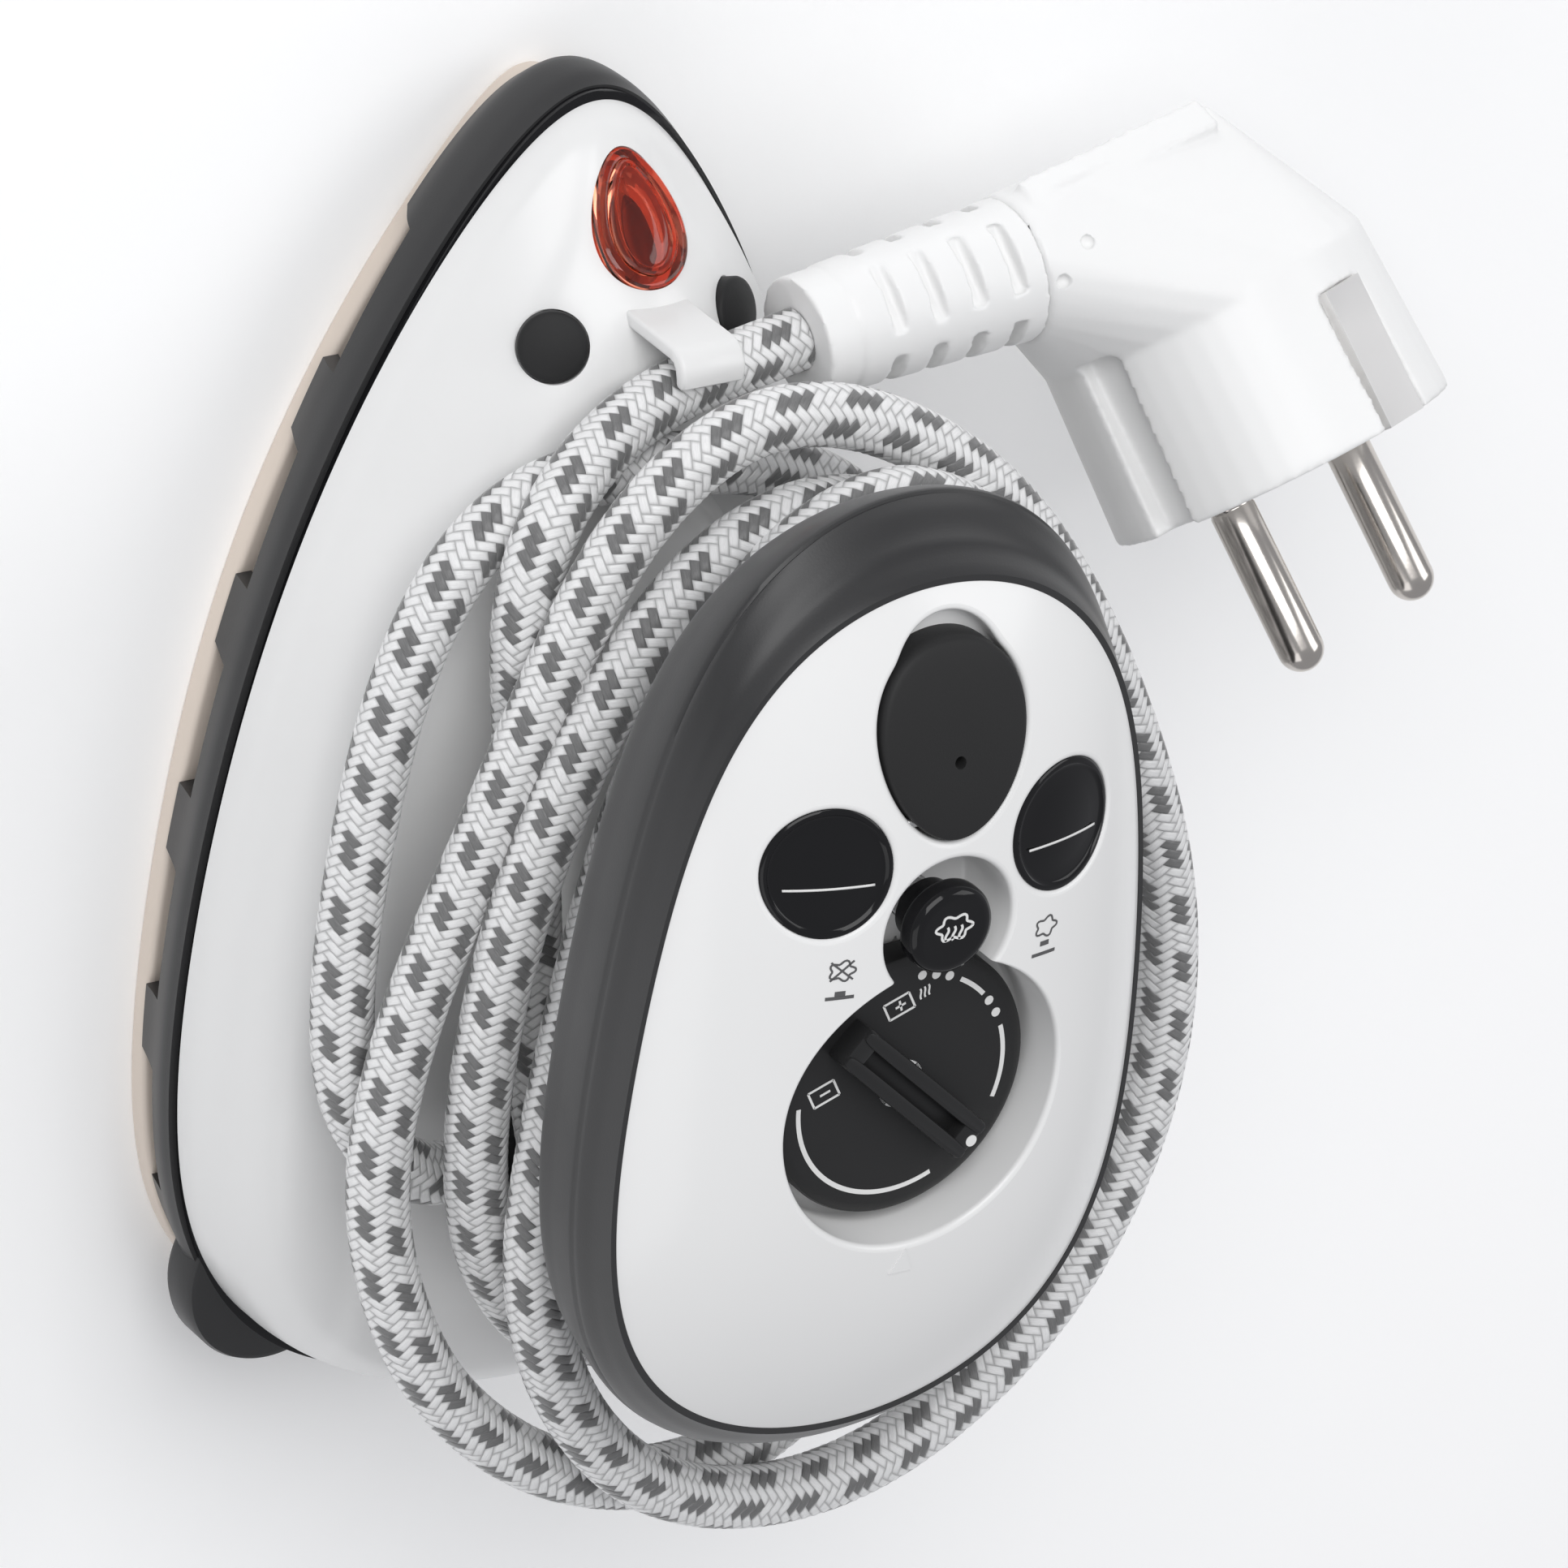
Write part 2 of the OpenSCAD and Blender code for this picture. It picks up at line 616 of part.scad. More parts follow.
cup_wall = 1.2;
window_rim = 1;
module top_cover() {
    color([0.94, 0.94, 0.93]) difference() {
        union() {
            difference() {
                dome_loft(0, 0, 1.6);
                dome_loft(wall, wall, 4);
            }
            intersection() {
                dome_loft(0, 0, 4);
                translate([0, 0, recess_floor - floor_thick]) union() {
                    cylinder(r = 0.01, h = 0.01);
                    translate([0, dial_at, 0]) cylinder(r = dial_recess_r + cup_wall, h = 20);
                    translate([0, knob_at, 0]) cylinder(r = knob_recess_r + cup_wall, h = 20);
                    linear_extrude(20) filler_outline(filler_gap + cup_wall);
                    post(finger_r + cup_wall, 0, 20, 0, filler_front + finger_reach - finger_r);
                }
            }
            intersection() {
                dome_loft(1.2, 0, 4);
                for (side = [-1, 1])
                    window_prism(side, recess_floor - floor_thick, crown, 0.2 + cup_wall);
            }
        }
        post(dial_recess_r, recess_floor, crown + 5, 0, dial_at);
        post(knob_recess_r, recess_floor, crown + 5, 0, knob_at);
        translate([0, 0, recess_floor]) linear_extrude(20) filler_outline(filler_gap);
        post(finger_r, recess_floor, crown + 5, 0, filler_front + finger_reach - finger_r);
        post(shaft_r + 0.8, recess_floor - 9, crown, 0, dial_at);
        post(rod_r + fit_clear, recess_floor - 9, crown, 0, knob_at);
        post(throat_r, recess_floor - 9, crown, 0, filler_mid);
        for (side = [-1, 1]) {
            window_prism(side, recess_floor, crown + 5, 0.1);
            window_prism(side, recess_floor - 9, crown, -2.4);
        }
        translate([0, filler_rear + pin_back, pin_z]) rotate([0, 90, 0]) {
            cylinder(r = hinge_pin_r, h = hinge_pin_length, center = true);
            cylinder(r = pin_back + 1, h = hinge_pin_length - 0.4, center = true);
        }
    }
}

module window_glass(side) {
    intersection() {
        dome_loft(0.2, 0, 4);
        window_prism(side, recess_floor + 0.1, crown + 2, -0.1);
    }
}

module window_left() { color([0.05, 0.05, 0.06]) window_glass(-1); }
module window_right() { color([0.05, 0.05, 0.06]) window_glass(1); }

// ---- Controls -------------------------------------------------------------------

grip_size = [21, 4.8, 3];
module dial() {
    color([0.17, 0.17, 0.18]) difference() {
        union() {
            post(dial_r, dial_bottom, dial_face - 0.8, 0, dial_at);
            translate([0, dial_at, dial_face - 0.8])
                cylinder(r1 = dial_r, r2 = dial_r - 0.8, h = 0.8);
            translate([0, dial_at, dial_face + grip_size[2] / 2 - 0.1]) rotate([0, 0, -42])
                cube([grip_size[0], grip_size[1], grip_size[2] + 0.2], center = true);
        }
        post(shaft_r, dial_bottom - 1, dial_face, 0, dial_at);
        translate([0, dial_at, dial_face + grip_size[2]]) rotate([0, 0, -42])
            cube([grip_size[0] - 3, 1.6, 3.6], center = true);
    }
}

module dial_shaft() {
    color([0.85, 0.85, 0.83]) post(shaft_r, casting_top + 6.6, dial_face, 0, dial_at);
}

stem_r = 3.4;
module steam_knob() {
    color([0.12, 0.12, 0.12]) difference() {
        union() {
            post(stem_r, recess_floor + knob_travel + 0.4, knob_top - 2.6, 0, knob_at);
            post(knob_r, knob_top - 2.7, knob_top - 0.7, 0, knob_at);
            translate([0, knob_at, knob_top - 0.7]) cylinder(r1 = knob_r, r2 = knob_r - 0.7, h = 0.7);
        }
        post(stem_r - 0.8, recess_floor, knob_top - 3.4, 0, knob_at);
    }
}

module valve_rod() {
    color([0.8, 0.8, 0.8]) {
        post(rod_r, tank_floor + 2.9 + knob_travel, knob_top - 3.4, 0, knob_at);
        translate([0, knob_at, tank_floor + 1.4 + knob_travel])
            cylinder(r1 = 0.5, r2 = rod_r, h = 1.5);
    }
}

module valve_spring() {
    turns = 6;
    step = 24;
    wire = 0.3;
    spring_r = rod_r + 0.55;
    low = recess_floor + wire;
    rise = knob_top - 3.4 - wire - 0.1 - low;
    color("silver") for (i = [0:turns - 1])
        translate([0, knob_at, low + rise * i / (turns - 1)]) rotate_extrude()
            translate([spring_r, 0]) circle(r = wire, $fn = 16);
}

hinge_pin_r = 0.7;
hinge_pin_length = 12.2;
pin_back = 2.2;                       // the hinge pin's distance from the cap's rear end
pin_z = dome((filler_rear - disc_middle) / (disc_length / 2)) - 1.2;
module filler_cap() {
    color([0.15, 0.15, 0.15]) difference() {
        union() {
            intersection() {
                difference() {
                    dome_loft(-0.4, -1, 4);
                    dome_loft(3.4, -1, 8);
                }
                translate([0, 0, recess_floor + clear]) linear_extrude(20) filler_outline();
            }
            translate([0, filler_mid, 0]) post(throat_r - 0.3, recess_floor - 1.2, crown - 4.6);
        }
        translate([0, filler_rear + pin_back, pin_z]) rotate([0, 90, 0])
            cylinder(r = hinge_pin_r + fit_clear, h = 20, center = true);
        post(0.8, crown - 3.4, crown + 3, 0, filler_mid - 1.9);
    }
}

module filler_hinge_pin() {
    color("silver") translate([0, filler_rear + pin_back, pin_z]) rotate([0, 90, 0])
        cylinder(r = hinge_pin_r, h = hinge_pin_length, center = true);
}

// ---- Cord and plug ----------------------------------------------------------------

module cord_relief() {
    color([0.1, 0.1, 0.1]) translate(gland_at) rotate(gland_turn) difference() {
        union() {
            translate([0, 0, -gland_depth]) cylinder(r = 3.97, h = gland_depth + 5.4);
            translate([0, 0, 5.2]) cylinder(r1 = 5.2, r2 = 4.2, h = gland_length - 5.2);
        }
        translate([0, 0, -gland_depth - 1]) cylinder(r = tube_r - 0.6, h = gland_length + 10);
    }
}

// The coil's outer form: height, nose, heel, width, and the sideways place of its middle
coil_levels = [[shell_top + 0.5, 43, -58, 73, 0.5], [44, 46, -64, 82, 2.5],
    [52, 53, -66.5, 80, 5], [disc_base - 0.9, 45, -63, 76, 9]];
coil_hole = [33, 86];

module cord_coil() {
    color([0.82, 0.82, 0.82]) difference() {
        loft([for (v = coil_levels) [for (p = ring(v[0], v[1], v[2], v[3], oval_shape))
            [p[0] + v[4], p[1], p[2]]]]);
        prism(shell_top - 3, disc_base + 3, coil_hole[1], coil_hole[0], 0, oval_shape);
        translate(gland_at) rotate(gland_turn) translate([0, 0, -6])
            cylinder(r = 5.6, h = gland_length + 6);
    }
}

// A round tube swept along a list of points.
function unit(v) = v / norm(v);
function heading(path, i) = unit(path[min(i + 1, len(path) - 1)] - path[max(i - 1, 0)]);
function side_of(t) = unit(cross(t, [0, 0, 1]));
module sweep(path, r, n) {
    loft([for (i = [0:len(path) - 1])
        let (t = heading(path, i), u = side_of(t), w = cross(t, u))
        [for (k = [0:n - 1]) path[i] + r * (cos(k * 360 / n) * u + sin(k * 360 / n) * w)]]);
}

module cord_tail() {
    color([0.85, 0.85, 0.85]) sweep(tail_route, tube_r, 8);
}

module at_relief() { translate(relief_from) rotate(relief_turn) children(); }
module at_plug() { translate(plug_at) rotate(plug_turn) children(); }

module plug_relief() {
    rib = 1.5;
    color([0.92, 0.92, 0.92]) at_relief() difference() {
        union() {
            cylinder(r = 6.3, h = 4);
            translate([0, 0, 4]) cylinder(r1 = 6.5, r2 = 7.4, h = relief_length - 4);
        }
        translate([0, 0, -1]) cylinder(r = tube_r - 0.5, h = relief_length + 2);
        for (i = [0:3], side = [0, 90, 180, 270]) rotate([0, 0, side + 45])
            translate([6.6, 0, 8 + i * 4.6]) cube([2.4, 7.5, rib], center = true);
    }
}

body_low = 19;                        // height of the plug's round base
module plug_body() {
    color([0.93, 0.93, 0.93]) difference() {
        union() {
            hull() {
                at_plug() cylinder(r = plug_r, h = 1, $fn = 48);
                at_plug() translate([0, 0, body_low - 1]) cylinder(r = plug_r - 0.8, h = 1, $fn = 48);
            }
            hull() {
                at_plug() translate([0, 0, body_low - 1]) cylinder(r = plug_r - 0.8, h = 1, $fn = 32);
                at_plug() translate([-6, 0, 34]) cube([22, 15, 4], center = true);
                at_relief() translate([0, 0, relief_length]) cylinder(r = 7.6, h = 1, $fn = 32);
            }
        }
        at_plug() for (side = [-1, 1]) {
            translate([side * plug_r, 0, body_low / 2 - 2]) cube([5, 5, body_low + 4], center = true);
            translate([0, side * (plug_r - 0.4), earth_size[2] / 2 - 0.5])
                cube([earth_size[0] + 1, 2.4, earth_size[2] + 1.2], center = true);
        }
        at_plug() for (side = [-1, 1]) translate([side * pin_spacing / 2, 0, -1])
            cylinder(r = pin_d / 2, h = 13);
    }
}

module plug_pins() {
    color([0.8, 0.78, 0.75]) at_plug() for (side = [-1, 1])
        translate([side * pin_spacing / 2, 0, 0]) {
            translate([0, 0, -pin_length + pin_d / 2]) cylinder(r = pin_d / 2, h = pin_length + 12 - pin_d / 2);
            translate([0, 0, -pin_length + pin_d / 2]) sphere(r = pin_d / 2);
        }
}

module earth_clips() {
    color([0.8, 0.78, 0.75]) at_plug() for (side = [-1, 1])
        translate([0, side * (plug_r - 0.9), earth_size[2] / 2])
            cube(earth_size, center = true);
}

sole_plate();
heater_casting();
heating_element();
chamber_seal();
chamber_lid();
heat_skirt();
skirt_seal();
body_shell();
screw_cap_left();
screw_cap_right();
case_screws();
sole_screws();
indicator_lens();
indicator_lamp();
lamp_holder();
cord_hook();
neck();
water_pipe();
thermostat();
thermostat_bracket();
thermal_fuse();
terminal_block();
inner_wires();
cord_clamp();
handle_base();
water_tank();
tank_seal();
drip_valve_seat();
grip_rim();
top_cover();
window_left();
window_right();
dial();
dial_shaft();
steam_knob();
valve_rod();
valve_spring();
filler_cap();
filler_hinge_pin();
cord_relief();
cord_coil();
cord_tail();
plug_relief();
plug_body();
plug_pins();
earth_clips();
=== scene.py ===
"""Looks for a compact travel steam iron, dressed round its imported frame.

Lengths in the classes are millimetres in the frame's own axes: the sole lies on z = 0,
+Z runs up to the palm disc and +Y to the nose. They become metres as a mesh is made.
"""

import logging
import math
from collections.abc import Callable
from dataclasses import dataclass, field
from enum import Enum

import bpy
import numpy as np
from mathutils import Matrix, Vector


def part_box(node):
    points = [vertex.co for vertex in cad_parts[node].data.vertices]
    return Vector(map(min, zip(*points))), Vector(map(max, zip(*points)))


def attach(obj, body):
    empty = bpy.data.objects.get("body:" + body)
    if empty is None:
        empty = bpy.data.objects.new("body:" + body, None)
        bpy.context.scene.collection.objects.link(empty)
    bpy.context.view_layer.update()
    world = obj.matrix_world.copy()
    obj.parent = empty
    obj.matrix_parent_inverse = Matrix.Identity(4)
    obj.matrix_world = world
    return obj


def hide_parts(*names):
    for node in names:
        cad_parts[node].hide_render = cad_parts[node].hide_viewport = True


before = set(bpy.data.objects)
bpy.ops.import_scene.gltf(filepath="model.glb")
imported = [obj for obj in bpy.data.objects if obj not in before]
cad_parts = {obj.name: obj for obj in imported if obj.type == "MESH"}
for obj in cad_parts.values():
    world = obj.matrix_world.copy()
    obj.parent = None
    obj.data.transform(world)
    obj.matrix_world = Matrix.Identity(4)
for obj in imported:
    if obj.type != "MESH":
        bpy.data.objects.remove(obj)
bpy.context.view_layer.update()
LOG = logging.getLogger("steam_iron")
MM = 0.001
TAU = 2 * math.pi
BODY, DIAL, VALVE, LID = "iron", "dial_group", "steam_valve", "filler_lid"


# ---- Numbers and surfaces ------------------------------------------------------


def node_box(node: str) -> tuple[np.ndarray, np.ndarray]:
    """Lowest and highest corner of a frame node, in millimetres."""
    low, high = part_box(node)
    return np.array(low) / MM, np.array(high) / MM


SOLE_LOW, SOLE_HIGH = node_box("sole_plate")
COVER_LOW, COVER_HIGH = node_box("top_cover")
SOLE_LENGTH = SOLE_HIGH[1] - SOLE_LOW[1]
SOLE_WIDTH = SOLE_HIGH[0] - SOLE_LOW[0]
HALF = SOLE_LENGTH / 2
SOLE_TOP = SOLE_HIGH[2]
COVER_LENGTH = COVER_HIGH[1] - COVER_LOW[1]
COVER_WIDTH = COVER_HIGH[0] - COVER_LOW[0] + 0.2
DISC_Y = (COVER_HIGH[1] + COVER_LOW[1]) / 2
KNOB_PROUD = 0.4  # how far the steam knob stands over the cover's crown
CROWN = node_box("steam_knob")[1][2] - KNOB_PROUD
COVER_EDGE = node_box("grip_rim")[1][2]
CROWN_RISE = CROWN - COVER_EDGE
FILLER_LOW, FILLER_HIGH = node_box("filler_cap")
FILLER_HALF = (FILLER_HIGH[1] - FILLER_LOW[1]) / 2
FILLER_Y = (FILLER_HIGH[1] + FILLER_LOW[1]) / 2
FILLER_WIDE = 8.1
WINDOW_LOW, WINDOW_HIGH = node_box("window_right")
DIAL_Y, KNOB_Y = -2.6, 17.0
# Carries X to Y, Y to Z and Z to X, so that a prism runs across the iron.
SIDEWAYS = Matrix(((0, 0, 1, 0), (1, 0, 0, 0), (0, 1, 0, 0), (0, 0, 0, 1)))


@dataclass(frozen=True)
class Outline:
    """An egg outline: fullness, taper towards the nose and two shape shares."""

    shares: tuple[float, float, float, float]

    def side(self, angle: np.ndarray) -> np.ndarray:
        """Half-width share at an angle from the nose: sin times a cosine series."""
        c0, c1, c2, c3 = self.shares
        return np.sin(angle) * (
            c0 + c1 * np.cos(angle) + c2 * np.cos(2 * angle) + c3 * np.cos(3 * angle)
        )

    def ring(self, count: int, length: float, width: float, middle: float) -> np.ndarray:
        """Points (count, 2) round the outline, counter-clockwise from the nose.

        Args:
            count: number of points.
            length: size along Y.
            width: size across.
            middle: the outline's centre along Y.

        Returns:
            x = -width/2 times side(angle), y = middle + length/2 times cos(angle).
        """
        angle = TAU * np.arange(count) / count
        return np.stack(
            [-width / 2 * self.side(angle), middle + length / 2 * np.cos(angle)], axis=1
        )


SOLE_OUTLINE = Outline((0.99, -0.50, 0.04, -0.08))
SHELL_OUTLINE = Outline((1.01, -0.43, 0.06, -0.05))
DISC_OUTLINE = Outline((1.13, -0.12, 0.15, 0.0))
OVAL_OUTLINE = Outline((1.0, 0.0, 0.0, 0.0))


def bell(value: np.ndarray, width: float) -> np.ndarray:
    """A smooth bump: exp of minus (value / width) squared."""
    return np.exp(-((value / width) ** 2))


def ramp(value: np.ndarray, width: float) -> np.ndarray:
    """A smooth step from 0 to 1 across plus and minus width about zero."""
    t = np.clip(value / (2 * width) + 0.5, 0, 1)
    return t * t * (3 - 2 * t)


def spline(points: np.ndarray, per_span: int, rounds: int = 0) -> np.ndarray:
    """A smooth curve through points, each span a Catmull-Rom cubic.

    Args:
        points: (n, k) points to pass through.
        per_span: samples in each span.
        rounds: how often each sample is then drawn towards its neighbours' middle.

    Returns:
        The sampled curve, ends kept.
    """
    padded = np.vstack([2 * points[:1] - points[1:2], points, 2 * points[-1:] - points[-2:-1]])
    t = np.linspace(0, 1, per_span, endpoint=False)[None, :, None]
    p0, p1, p2, p3 = (padded[i : len(padded) - 3 + i, None, :] for i in range(4))
    curve = 0.5 * (
        2 * p1 + (p2 - p0) * t + (2 * p0 - 5 * p1 + 4 * p2 - p3) * t**2
        + (3 * p1 - p0 - 3 * p2 + p3) * t**3
    )
    curve = np.vstack([curve.reshape(-1, points.shape[1]), points[-1:]])
    for _ in range(rounds):
        curve[1:-1] += 0.5 * ((curve[:-2] + curve[2:]) / 2 - curve[1:-1])
    return curve


def level(ring: np.ndarray, height: float | np.ndarray) -> np.ndarray:
    """A flat ring (n, 2) lifted to one height, or to a height for each point: (n, 3)."""
    return np.column_stack([ring, np.broadcast_to(height, len(ring))])


def resample(points: np.ndarray, count: int) -> np.ndarray:
    """The same curve with count samples at equal steps of length."""
    steps = np.linalg.norm(np.diff(points, axis=0), axis=1)
    along = np.concatenate([[0], np.cumsum(steps)])
    wanted = np.linspace(0, along[-1], count)
    return np.stack([np.interp(wanted, along, points[:, k]) for k in range(points.shape[1])], axis=1)


def ring_faces(rings: int, count: int, cap_start: bool, cap_end: bool) -> list[list[int]]:
    """Faces of a tube of rings: quads between rings, and one face for each cap.

    Args:
        rings: how many rings.
        count: points in each ring.
        cap_start: close the first ring.
        cap_end: close the last ring.

    Returns:
        Faces that point outwards when rings run counter-clockwise and climb.
    """
    k = np.arange(rings - 1)[:, None] * count
    i = np.arange(count)[None, :]
    j = (i + 1) % count
    quads = np.stack([k + i, k + j, k + count + j, k + count + i], axis=-1).reshape(-1, 4)
    faces = quads.tolist()
    if cap_start:
        faces.append(list(range(count - 1, -1, -1)))
    if cap_end:
        faces.append(list(range((rings - 1) * count, rings * count)))
    return faces


def make_piece(
    name: str, points: np.ndarray, faces: list[list[int]], sharp: float = 35.0
) -> bpy.types.Object:
    """A smooth-shaded mesh object at the origin.

    Args:
        name: the piece's name.
        points: (n, 3) millimetres.
        faces: lists of vertex numbers.
        sharp: edges that turn more than this many degrees stay crisp.

    Returns:
        The linked object.
    """
    mesh = bpy.data.meshes.new(name)
    mesh.from_pydata((points * MM).tolist(), [], faces)
    mesh.validate()
    mesh.shade_smooth()
    mesh.set_sharp_from_angle(angle=math.radians(sharp))
    piece = bpy.data.objects.new(name, mesh)
    bpy.context.scene.collection.objects.link(piece)
    return piece


def loft(name: str, rings: np.ndarray, sharp: float = 35.0, loop: bool = False) -> bpy.types.Object:
    """A closed surface through rings (m, n, 3); a loop joins the last ring to the first."""
    m, n, _ = rings.shape
    faces = ring_faces(m + 1 if loop else m, n, not loop, not loop)
    if loop:
        faces = [[v % (m * n) for v in face] for face in faces]
    return make_piece(name, rings.reshape(-1, 3), faces, sharp)


def ribbon(name: str, line: np.ndarray, width: float, lifts: tuple[float, float],
           ground: Callable[[np.ndarray], float | np.ndarray]) -> bpy.types.Object:
    """A thin raised print stroke along a line.

    Args:
        name: the piece's name.
        line: (n, 2) points of its middle.
        width: size across.
        lifts: its underside and its face, over the ground.
        ground: the height under given (n, 2) points.

    Returns:
        The stroke: line plus and minus width/2 times its normal, at ground plus each lift.
    """
    ahead = np.gradient(line, axis=0)
    ahead /= np.linalg.norm(ahead, axis=1)[:, None]
    out = np.stack([-ahead[:, 1], ahead[:, 0]], axis=1) * width / 2
    low, high = lifts
    rows = [level(edge, ground(edge) + z) for edge, z in (
        (line + out, low), (line - out, low), (line - out, high), (line + out, high))]
    return loft(name, np.stack(rows, axis=1), sharp=180)


def turned(name: str, profile: np.ndarray, place: Matrix, sides: int = 96,
           sharp: float = 35.0) -> bpy.types.Object:
    """A closed turned solid.

    Args:
        name: the piece's name.
        profile: (k, 2) radius and height, from the bottom's middle up to the top's.
        place: where the axis stands, in millimetres.
        sides: points round.
        sharp: crisp edge angle in degrees.

    Returns:
        The piece: each profile point swept round the axis, poles joined to small caps.
    """
    angle = TAU * np.arange(sides) / sides
    radius = np.maximum(profile[:, 0], 0.02)
    rings = np.stack(
        [radius[:, None] * np.cos(angle), radius[:, None] * np.sin(angle),
         np.repeat(profile[:, 1:2], sides, axis=1)], axis=-1)
    return loft(name, place_points(rings, place), sharp)


def place_points(points: np.ndarray, place: Matrix) -> np.ndarray:
    """Points carried by a matrix whose translation is in millimetres."""
    grid = np.array(place)
    return points @ grid[:3, :3].T + grid[:3, 3]


def stand(x: float, y: float, z: float, turn: tuple[float, float, float] = (0, 0, 0)) -> Matrix:
    """A place: a turn about X, then Y, then Z in degrees, then a move in millimetres."""
    out = Matrix.Identity(4)
    for axis, degrees in zip("XYZ", turn):
        out = Matrix.Rotation(math.radians(degrees), 4, axis) @ out
    return Matrix.Translation((x, y, z)) @ out


def prism(name: str, ring: np.ndarray, low: float, high: float, place: Matrix | None = None,
          sharp: float = 35.0) -> bpy.types.Object:
    """A straight prism on a closed ring (n, 2), from height low to high."""
    rings = np.stack([level(ring, z) for z in (low, high)])
    return loft(name, place_points(rings, place or Matrix.Identity(4)), sharp)


def rounded(low: float, high: float, radius: float, steps: int = 5) -> list[tuple[float, float]]:
    """(inset, height) pairs of a wall with both edges rounded: quarter circles."""
    t = np.linspace(0, math.pi / 2, steps)
    foot = [(radius * (1 - math.sin(a)), low + radius * (1 - math.cos(a))) for a in t]
    head = [(radius * (1 - math.cos(a)), high - radius * (1 - math.sin(a))) for a in t]
    return foot + head


def cut(piece: bpy.types.Object, cutters: list[bpy.types.Object], sharp: float = 35.0) -> None:
    """Takes the cutters' volume away from a piece, and deletes the cutters.

    Args:
        piece: the closed piece to cut.
        cutters: closed pieces.
        sharp: crisp edge angle in degrees of the result.
    """
    for cutter in cutters:
        tool = piece.modifiers.new("cut", "BOOLEAN")
        tool.operation = "DIFFERENCE"
        tool.solver = "EXACT"
        tool.object = cutter
    settle(piece, sharp)
    for cutter in cutters:
        mesh = cutter.data
        bpy.data.objects.remove(cutter)
        bpy.data.meshes.remove(mesh)


def settle(piece: bpy.types.Object, sharp: float = 35.0) -> None:
    """Makes a piece's modifiers part of its mesh."""
    graph = bpy.context.evaluated_depsgraph_get()
    mesh = bpy.data.meshes.new_from_object(piece.evaluated_get(graph))
    piece.modifiers.clear()
    old = piece.data
    piece.data = mesh
    bpy.data.meshes.remove(old)
    mesh.shade_smooth()
    mesh.set_sharp_from_angle(angle=math.radians(sharp))


def joined(name: str, pieces: list[bpy.types.Object]) -> bpy.types.Object:
    """One object from several, all at the origin."""
    points, faces, start = [], [], 0
    for piece in pieces:
        mesh = piece.data
        flat = np.empty(len(mesh.vertices) * 3)
        mesh.vertices.foreach_get("co", flat)
        points.append(flat.reshape(-1, 3) / MM)
        faces += [[v + start for v in p.vertices] for p in mesh.polygons]
        start += len(mesh.vertices)
        bpy.data.objects.remove(piece)
        bpy.data.meshes.remove(mesh)
    return make_piece(name, np.vstack(points), faces)


def soft_copy(name: str, node: str, voxel: float, rounds: int,
              extras: list[bpy.types.Object] | None = None) -> bpy.types.Object:
    """A moulded look for a frame node: its form remeshed, then its edges eased.

    Args:
        name: the new piece's name.
        node: the frame node that is copied.
        voxel: remesh size in millimetres.
        rounds: how often the surface is smoothed.
        extras: closed pieces that grow into the form.

    Returns:
        The piece, at the origin.
    """
    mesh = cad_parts[node].data.copy()
    piece = bpy.data.objects.new(name, mesh)
    bpy.context.scene.collection.objects.link(piece)
    mesh.name = name
    mesh.materials.clear()
    piece = joined(name, [piece, *(extras or [])])
    weld = piece.modifiers.new("weld", "WELD")
    weld.merge_threshold = 1e-6
    remesh = piece.modifiers.new("remesh", "REMESH")
    remesh.mode = "VOXEL"
    remesh.voxel_size = voxel * MM
    ease = piece.modifiers.new("ease", "SMOOTH")
    ease.factor = 0.5
    ease.iterations = rounds
    settle(piece, 180.0)
    return piece


# ---- Finishes --------------------------------------------------------------------

# Near-black painted onto the sole's top face: painted shade for the dark cavity seen through the skirt's
# slots.
SLOT_CAVITY_PAINTED_SHADE = (0.012, 0.012, 0.012)


class Grain(Enum):
    """How a finish breaks up its surface."""

    FINE = "fine"
    BRUSHED = "brushed"
    FLECKED = "flecked"


